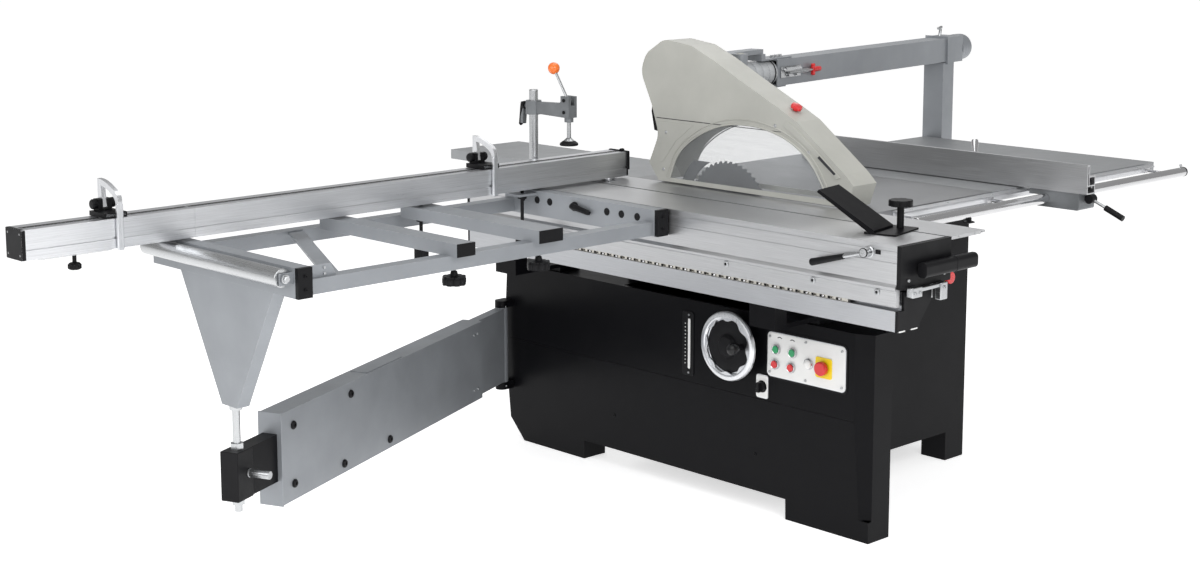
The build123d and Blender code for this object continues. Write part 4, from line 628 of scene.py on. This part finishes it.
def frame_fittings():
    for x in (-1211.0, -45.0):
        for z in (-20.0, -52.0):
            socket_screw(f"tube_bolt_{int(-x)}_{int(-z)}", (x + 20, 766, z), FORWARD, 4.0,
                         "black_plastic", "carriage")
    for y, face, way in ((782.0, 780.0, FORWARD), (1380.0, 1380.0, BACKWARD)):
        hexagon(f"roller_nut_{int(y)}", (-1236, face, -22), way, 8, 7, "zinc_steel", "carriage")
    for index, (x, z) in enumerate(((-1158, -12), (-1158, -26), (-1120, -12), (-1120, -26))):
        socket_screw(f"gusset_screw_{index}", (x, 792, z), FORWARD, 3.4, "zinc_steel", "carriage")
    for index, x in enumerate((-725.0, -445.0)):
        turned(f"under_knob_{index}", (x, 800, -110), UP, UNDER_KNOB,
               "black_plastic", "carriage", sides=64, lobes=8, depth=0.13)
    for index, (x, z) in enumerate(((-445.0, -44), (-76.0, -22))):
        turned(f"clamp_nut_{index}", (x, 1278, z), UP, [(13, 0), (13, 9), (9, 10)],
               "black_plastic", "carriage", sides=24)
    slab("bar_notch", (-745, -737), (752, 754.6), (-27, -9), "zinc_steel", "carriage", 0.4)
    turned("leg_socket", (-1191, 1068, -392), UP, [(15, 0.8), (16, 3), (16, 13)],
           "zinc_steel", "carriage", sides=30)


beam_fittings()
frame_fittings()

# ---------------------------------------------------------------- crosscut fence and stops
FENCE_TOP = 80.3
FENCE_BACK = 1284
SCALE_FRONT = 1268
MARK_PITCH = 10
STOP_PLACES = (("left", -1390.0), ("right", -216.0))


def scale_marks(name, x0, x1, body):
    """White lines on a tape: longer at every fifth and longest at every tenth."""
    mesh = bpy.data.meshes.new(name)
    form = bmesh.new()
    front = SCALE_FRONT + 1
    for index in range(int((x1 - x0) / MARK_PITCH)):
        x = x0 + 5 + index * MARK_PITCH
        reach = 9 if index % 10 == 0 else 6 if index % 5 == 0 else 4
        corners = [(x - 0.5, front), (x + 0.5, front), (x + 0.5, front + reach), (x - 0.5, front + reach)]
        form.faces.new([form.verts.new(at(a, b, FENCE_TOP + 0.25)) for a, b in corners])
    form.to_mesh(mesh)
    form.free()
    finish_piece(name, mesh, "white_plastic", body, smooth=False)


def fence_scales():
    for name, x0, x1, body in (("fence_scale", -1178.0, 300.0, "crosscut"),
                               ("end_scale", -1626.0, -1184.0, "telescopic_end")):
        slab(name, (x0, x1), (SCALE_FRONT, FENCE_BACK), (FENCE_TOP - 0.2, FENCE_TOP + 0.18),
             "black_plastic", body, 0)
        scale_marks(name + "_marks", x0, x1, body)


def fence_end():
    """Cap, sole plate and knob of the telescopic end, and the parts on the fence itself."""
    prism("end_cap", rounded((1278, 44.3), 77, 73, 3), -1640.2, -1630, "yz",
          "black_plastic", "telescopic_end", 1.2)
    for index, (y, z) in enumerate(((1250, 20), (1306, 20), (1250, 70), (1306, 70))):
        socket_screw(f"end_cap_screw_{index}", (-1637.8, y, z), LEFT, 2.6, "zinc_steel", "telescopic_end")
    slab("end_sole", (-1595, -1408), (1243, 1312), (4.5, 8.3), "hose_plastic", "telescopic_end", 0.6)
    turned("sole_knob", (-1497, 1262, -32), UP,
           [(12, 0), (16, 3), (16, 12), (12, 16), (5, 18), (5, 37)],
           "black_plastic", "telescopic_end", sides=48, lobes=6, depth=0.14)
    slab("rear_block", (-1048, -949), (1316.5, 1336), (12, 60), "cast_grey", "crosscut", 2.0)
    slab("face_strip", (-1178, 303), (1239.2, 1240.4), (48, 76), "aluminium_x", "crosscut", 0.2)


def flip_stop(side, x):
    """Knobs, lens over the scale, and the bright rib of one flip stop."""
    body = f"{side}_stop"
    for way in (-1, 1):
        turned(f"stop_knob_{side}_{way + 1}", (x + way * 18, 1310, 108.3), (way, 0, 0),
               [(9, 0), (12, 2), (12.5, 10), (10, 13), (3, 13.6)],
               "black_plastic", body, sides=40, lobes=8, depth=0.1)
    lens = [(1247, 84), (1290, 84), (1290, 90), (1247, 90)]
    prism(f"stop_lens_{side}", lens, x - 26, x + 26, "yz", "clear_plastic", body, 1.5)
    rib = [(1229.4, 8), (1237.6, 8), (1237.6, 116), (1229.4, 116)]
    prism(f"stop_rib_{side}", rib, x - 8.5, x + 8.5, "yz", "aluminium_z", f"{side}_flip", 1.6)


fence_scales()
fence_end()
for side, x in STOP_PLACES:
    flip_stop(side, x)
turned("fence_hook", (312, 1262, 83), RIGHT, [(6, -10), (6, 0), (4, 3)],
       "black_plastic", "crosscut", sides=20)

# ---------------------------------------------------------------- hold-down
HOLD_X = 30
POST_Y = 1345
SPINDLE_Y = 1195
HEAD_Y = 1199
HEAD_Z = 258
BALL_RADIUS = 17.4
BALL_REACH = 105


def hold_down_post():
    turned("post_collar", (HOLD_X, POST_Y, 9.5), UP, [(24.2, -9), (24.2, 0), (20, 3), (14, 3.4)],
           "zinc_steel", "carriage")
    turned("post_sleeve", (HOLD_X, POST_Y, 10), UP, [(13.3, 0), (13.3, 195)],
           "zinc_steel", "carriage", sides=48)
    turned("post_tip", (HOLD_X, POST_Y, 250), UP, [(13.3, -3), (13.3, 26), (11.5, 28.4), (3, 28.6)],
           "zinc_steel", "carriage", sides=48)


def hold_down_ball():
    slant = Vector((0, 0.56, 0.83))
    arc = [radians(angle) for angle in range(-75, 90, 15)]
    profile = [(3, -BALL_RADIUS)] + [(BALL_RADIUS * cos(angle), BALL_RADIUS * sin(angle)) for angle in arc]
    middle = (HOLD_X, HEAD_Y + BALL_REACH * slant.y, HEAD_Z + BALL_REACH * slant.z)
    turned("lever_ball", middle, tuple(slant.normalized()), profile,
           "orange_plastic", "hold_down_lever", sides=40)


def hold_down_arm():
    turned("pad_rubber", (HOLD_X, SPINDLE_Y, 129), UP,
           [(25, 0), (27, 2), (26, 7), (18, 13), (9, 17), (7, 22)],
           "black_plastic", "hold_down_pad", sides=48)
    turned("pad_neck", (HOLD_X, SPINDLE_Y, 150), UP, [(6.2, 0), (6.2, 26)],
           "zinc_steel", "hold_down_pad", sides=24)
    turned("arm_ratchet_hub", (HOLD_X, 1377, 230), BACKWARD, [(12, 0), (12, 10), (9, 14)],
           "black_plastic", "hold_down", sides=28)
    turned("arm_ratchet_grip", (HOLD_X, 1389, 232), (0, 0.2, -0.98),
           [(9, -6), (9, 4), (7, 40), (6, 60), (2, 64)], "black_plastic", "hold_down", sides=24)
    for z in (222.0, 256.0):
        turned(f"head_pin_{int(z)}", (12.8, HEAD_Y, z + 2), LEFT, [(5, -1), (5, 1.4), (3.6, 2)],
               "black_plastic", "hold_down", sides=20)


hold_down_post()
hold_down_ball()
hold_down_arm()

# ---------------------------------------------------------------- swing arm
PIVOT = Vector((180.0, 1668.0))
ARM_REACH = (Vector(LEG) - PIVOT).length
AIM = (Vector(LEG) - PIVOT).normalized()
FRONTWARD = Vector((-AIM.y, AIM.x))
ARM_SIDE = 32                       # from the arm's middle plane to its front face
ARM_BOLTS = ((1290, -480), (1290, -632), (1040, -650), (1000, -470), (790, -650))


def arm_place(along, across, z):
    """A point beside the arm: along it from its pivot, across it to the front, and up."""
    spot = PIVOT + AIM * along + FRONTWARD * across
    return (spot.x, spot.y, z)


def box_corners(place, along, across):
    """Four corners in plan, for a place function that takes along, across and height."""
    pairs = ((along[0], across[0]), (along[1], across[0]), (along[1], across[1]), (along[0], across[1]))
    return [place(a, b, 0)[:2] for a, b in pairs]


def along_slab(name, along, across, zs, material, body, bevel=0.8):
    return prism(name, box_corners(arm_place, along, across), zs[0], zs[1], "xy", material, body, bevel)


def swing_arm_fittings():
    facing = (FRONTWARD.x, FRONTWARD.y, 0)
    for index, (along, z) in enumerate(ARM_BOLTS):
        turned(f"arm_bolt_{index}", arm_place(along, ARM_SIDE, z), facing,
               [(11, 0), (11, 3), (8.5, 6), (4.5, 6.4), (4, 3)], "black_plastic", "lower_arm", sides=28)
    for along in (236.0, 260.0):
        for z in (-470.0, -640.0):
            socket_screw(f"plate_screw_{int(along)}_{int(-z)}", arm_place(along, ARM_SIDE, z), facing, 3.5,
                         "zinc_steel", "lower_arm")
    along_slab("arm_lip", (ARM_REACH - 152, ARM_REACH - 147.5), (-34, 34), (-677, -436),
               "blue_paint", "lower_arm", 1.0)
    along_slab("arm_head", (ARM_REACH - 30, ARM_REACH + 37), (-25, 25), (-613, -489),
               "black_plastic", "lower_slide", 2.0)
    turned("level_pin", arm_place(ARM_REACH - 14, 24, -551), facing,
           [(11, 0), (11, 3), (9.5, 4), (9.5, 36), (7, 38), (3, 38)], "zinc_steel", "lower_slide", sides=30)


swing_arm_fittings()

# ---------------------------------------------------------------- rip fence
def rip_rail_fittings():
    for index, x in enumerate((480.0, 640.0, 850.0, 1130.0, 1300.0, 1620.0)):
        turned(f"rail_screw_{index}", (x, 322, -3), UP, [(4.5, 0), (4.5, 1), (3, 1.6), (1.2, 1)],
               "zinc_steel", "cabinet", sides=20)
    turned("rail_clip", (1764, 245, -22), RIGHT, [(15, 0), (15, 5), (13, 7), (4, 7.4)],
           "black_plastic", "cabinet", sides=36)
    turned("rail_finger", (1757, 247, -7), (0, 0.3, 1), [(4, 0), (4, 8), (2, 10)],
           "zinc_steel", "cabinet", sides=20)
    turned("rail_foot", (640, 247, -52), UP, [(3, 0), (16, 3), (16, 6), (7, 8), (7, 16)],
           "black_plastic", "cabinet", sides=6)


def rip_fence_fittings():
    for name, x, z in (("fence_screw_20", 1021, 23), ("fence_screw_62", 1006, 65)):
        socket_screw(name, (x, 107, z), FORWARD, 2.4, "zinc_steel", "rip_profile")
    turned("lock_boss", (1041, 530, 36), RIGHT, [(11, 0), (11, 22), (9, 26), (3, 26.5)],
           "chrome_bar", "rip_profile", sides=32)
    turned("lock_stem", (1060, 530, 36), UP, [(9, -4), (9, 42), (8, 48)],
           "chrome_bar", "rip_profile", sides=32)
    turned("lock_grip", (1060, 530, 82), (0.5, 0.4, 0.76), [(7, -6), (8, 4), (11, 26), (10, 36), (4, 40)],
           "chrome_bar", "rip_profile", sides=32)
    slope = Vector((0, -0.92, -0.39)).normalized()
    turned("rip_rod", (1045, 113, -17), tuple(slope), [(4.2, 0), (4.4, 52)],
           "zinc_steel", "rip_lock", sides=20)
    turned("rip_hub", (1033, 121, -14), RIGHT, [(13.4, 0), (13.6, 12), (13.4, 24)],
           "black_plastic", "rip_lock", sides=36)


rip_rail_fittings()
rip_fence_fittings()

# ---------------------------------------------------------------- overhead arm
COLUMN = Vector((1806.0, 1217.0))
YAW = radians(8)
TOWARDS = Vector((-cos(YAW), -sin(YAW)))
ASIDE = Vector((sin(YAW), -cos(YAW)))
OUTWARD = (-TOWARDS.x, -TOWARDS.y, 0)
SIDEWARD = (ASIDE.x, ASIDE.y, 0)
ARM_MID_Z = 301
TOGGLE_BOLTS = ((968, 308), (990, 293), (1012, 309), (1034, 292), (1056, 308))
PORT_PROFILE = [(45.4, 0), (45.8, 14), (44.8, 15), (45.8, 17), (45.8, 30),
                (44.8, 31), (45.8, 33), (45.6, 50), (43, 57)]
RING_PROFILE = [(39.1, -1.8), (40.9, -1.2), (41.3, 0), (40.9, 1.2), (39.1, 1.8)]
DUCT_LEAVES = 1085                  # where the duct leaves the arm, along it
DUCT_LENGTH = 290
DUCT_END_Y = 1070


def over_place(along, across, z):
    """A point beside the overhead arm: along it from the column, across it to the front, and up."""
    spot = COLUMN + TOWARDS * along + ASIDE * across
    return (spot.x, spot.y, z)


def over_slab(name, along, across, zs, material, body, bevel=0.8):
    return prism(name, box_corners(over_place, along, across), zs[0], zs[1], "xy", material, body, bevel)


def toggle_clamp():
    """Plate, links and bolts of the toggle clamp, with its red handle."""
    for along in (1030.0, 1052.0, 1074.0):
        hexagon(f"arm_screw_{int(along)}", over_place(along, 10, 346), UP, 6, 6, "zinc_steel", "overhead")
    over_slab("toggle_plate", (960, 1070), (38, 42), (284, 318), "zinc_steel", "overhead", 0.8)
    turned("toggle_rod", over_place(1000, 50, 300), OUTWARD, [(4.5, -40), (4.5, 96)],
           "zinc_steel", "overhead", sides=20)
    over_slab("toggle_link", (930, 1010), (42, 52), (294, 306), "zinc_steel", "overhead", 1.2)
    for index, (along, z) in enumerate(TOGGLE_BOLTS):
        hexagon(f"toggle_bolt_{index}", over_place(along, 42, z), SIDEWARD, 5.5, 6, "zinc_steel", "overhead")
    over_slab("toggle_arm", (975, 1050), (46, 50), (303, 316), "zinc_steel", "overhead", 1.0)
    turned("toggle_grip", over_place(905, 50, 300), OUTWARD, [(8, 0), (9, 4), (8, 40), (5, 44)],
           "red_plastic", "overhead", sides=24)
    turned("toggle_bar", over_place(902, 50, 282), UP, [(5, 0), (7, 3), (7, 33), (5, 36)],
           "red_plastic", "overhead", sides=24)


def column_fittings():
    turned("sleeve_screw", over_place(2, 0, 344), (0.2, 0, 1), [(5, 0), (5, 26), (4, 28)],
           "zinc_steel", "cabinet", sides=20)
    turned("sleeve_bar", over_place(12, 0, 374), (-TOWARDS.x, -TOWARDS.y, 0.15),
           [(4.5, -2), (5, 4), (5, 22), (3, 26)], "zinc_steel", "cabinet", sides=20)
    over_slab("sleeve_lip", (17, 21), (-45, 45), (252, 349), "blue_paint", "cabinet", 0.8)
    turned("port_ribs", over_place(-94, 0, ARM_MID_Z), OUTWARD, PORT_PROFILE,
           "blue_paint", "cabinet", sides=64)


def duct_rings():
    """Wire rings around the clear duct, on its curve from the arm's end to the guard."""
    for index in range(9):
        along = 1096 + index * 31
        x, arm_y, z = over_place(along, 0, ARM_MID_Z)
        share = (along - DUCT_LEAVES) / DUCT_LENGTH
        y = arm_y + (DUCT_END_Y - arm_y) * max(0.0, min(1.0, share)) ** 1.2
        turned(f"duct_ring_{index}", (x, y, z), (TOWARDS.x, TOWARDS.y * (1 - share), 0), RING_PROFILE,
               "black_plastic" if index in (0, 4, 8) else "clear_plastic", "overhead", sides=48)


toggle_clamp()
column_fittings()
duct_rings()

# ---------------------------------------------------------------- guard
HOOD_LEFT = 330                     # left face of the guard
VENT = [(1121, 196), (1150, 206), (1134, 146), (1160, 150), (1172, 205), (1168, 232)]
REAR_PANEL = [(1112, 62), (1128, 62), (1116, 138), (1130, 180), (990, 180), (1062, 126)]
LEG_RIB = [(640, 222), (606, 204), (446, 84), (462, 78), (556, 150), (650, 206)]
ARCH = [(489, 20), (520, 80), (567, 131), (622, 165), (684, 187), (760, 199),
        (840, 197), (909, 181), (980, 149), (1040, 105), (1068, 64), (1084, 17)]
WIDE_ARCH = [(y + (y - 786) * 0.045, 12 + (z - 12) * 1.075) for y, z in ARCH]


def arch_bead(x, line, thickness):
    """Rounded bead along a window's edge."""
    mesh = bpy.data.curves.new(f"arch_bead_{int(x)}", "CURVE")
    mesh.dimensions = "3D"
    mesh.bevel_depth = thickness
    mesh.bevel_resolution = 3
    bow = mesh.splines.new("NURBS")
    bow.points.add(len(line) - 1)
    for point, (y, z) in zip(bow.points, line):
        point.co = (*at(x, y, z), 1)
    bow.order_u = 3
    bow.use_endpoint_u = True
    mesh.materials.append(LOOK["beige_plastic"])
    bead = bpy.data.objects.new(f"arch_bead_{int(x * 10)}", mesh)
    bpy.context.collection.objects.link(bead)
    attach(bead, "hood")


def guard_fittings():
    prism("guard_vent", VENT, HOOD_LEFT + 10, HOOD_LEFT + 89, "yz", "black_plastic", "hood", 1.5)
    for index, (y, z) in enumerate(((681, 205), (560, 142), (1100, 150), (1110, 40))):
        turned(f"hood_screw_{index}", (HOOD_LEFT - 0.1, y, z), LEFT, [(5, 0), (5, 1.2), (3.6, 2), (1.6, 1.2)],
               "zinc_steel", "hood", sides=20)
    turned("hood_knob", (379.5, 652, 247), (0, -0.47, 0.88),
           [(7, 0), (7, 5), (16, 6), (17, 12), (15, 16), (5, 17.5)],
           "red_plastic", "hood", sides=48, lobes=6, depth=0.1)
    for x, line, thickness in ((329.0, ARCH, 0.0030), (329.6, WIDE_ARCH, 0.0018), (429.2, ARCH, 0.0019)):
        arch_bead(x, line, thickness)
    joint = [(660, 188.6), (1140, 188.6), (1141, 190.4), (660, 190.4)]
    prism("hood_joint", joint, 329.7, 331.5, "yz", "scale_ink", "hood", 0)
    prism("hood_rear_panel", REAR_PANEL, 328.8, 330.2, "yz", "beige_plastic", "hood", 0.5)
    prism("hood_leg_rib", LEG_RIB, 327.6, 330.2, "yz", "beige_plastic", "hood", 0.9)
    # Painted shade: a thin dark sheet on the leg rib stands in for the shade inside the leg's slot.
    slot = [(520, 137), (462, 94), (468, 89), (527, 131)]
    prism("hood_leg_slot_shade", slot, 327.2, 327.9, "yz", "scale_ink", "hood", 0.2)
    turned("hood_roller", (344, 452, 78), RIGHT, [(9, 0), (10, 2), (10, 68), (9, 70)],
           "clear_plastic", "hood", sides=28)


guard_fittings()

# ---------------------------------------------------------------- floor, light
FLOOR_REACH = 30000
FLOOR_Z = -864.4
floor_mesh = bpy.data.meshes.new("floor")
form = bmesh.new()
for x, y in ((-FLOOR_REACH, -FLOOR_REACH), (FLOOR_REACH, -FLOOR_REACH),
             (FLOOR_REACH, FLOOR_REACH), (-FLOOR_REACH, FLOOR_REACH)):
    form.verts.new(at(x, y, FLOOR_Z))
form.faces.new(form.verts)
form.to_mesh(floor_mesh)
form.free()
floor = bpy.data.objects.new("floor", floor_mesh)
bpy.context.collection.objects.link(floor)
ground, ground_tree, ground_shader = nodes_of("ground")
tone = ramp(ground_tree, noise(ground_tree, 3, 3), "Fac", 0.3, 0.7, 0.94, 0.97)
link(ground_tree, tone, "Result", ground_shader, "Base Color")
ground_shader.inputs["Roughness"].default_value = 0.8
ground_shader.inputs["Specular IOR Level"].default_value = 0.1
ground_shader.inputs["Emission Color"].default_value = (1, 1, 1, 1)
ground_shader.inputs["Emission Strength"].default_value = 0.62
floor_mesh.materials.append(ground)

world = bpy.data.worlds.new("studio")
bpy.context.scene.world = world
world.use_nodes = True
backdrop = world.node_tree.nodes["Background"]
backdrop.inputs["Color"].default_value = (1, 1, 1, 1)
# white behind the saw, but a dimmer room for what the metal and paint mirror
ray = world.node_tree.nodes.new("ShaderNodeLightPath")
room = ramp(world.node_tree, ray, "Is Camera Ray", 0, 1, 0.42, 1.0)
link(world.node_tree, room, "Result", backdrop, "Strength")


def softbox(name, place, aim, size, power):
    """A rectangular light at a place in mm, turned to the aim; its size is in metres."""
    light = bpy.data.lights.new(name, "AREA")
    light.shape = "RECTANGLE"
    light.size, light.size_y = size
    light.energy = power
    obj = bpy.data.objects.new(name, light)
    bpy.context.collection.objects.link(obj)
    obj.location = at(*place)
    obj.rotation_euler = (at(*aim) - obj.location).to_track_quat("-Z", "Y").to_euler()


softbox("key", (-1500, -3200, 2200), (300, 800, -200), (3.0, 2.0), 100)
softbox("fill", (-3600, 600, 1400), (-200, 1000, -300), (2.6, 2.0), 45)
softbox("top", (200, 1000, 3200), (200, 900, 0), (4.0, 2.4), 48)
softbox("rim", (2800, 3000, 2200), (400, 1000, 0), (2.4, 1.6), 16)
bpy.context.scene.view_settings.view_transform = "Standard"
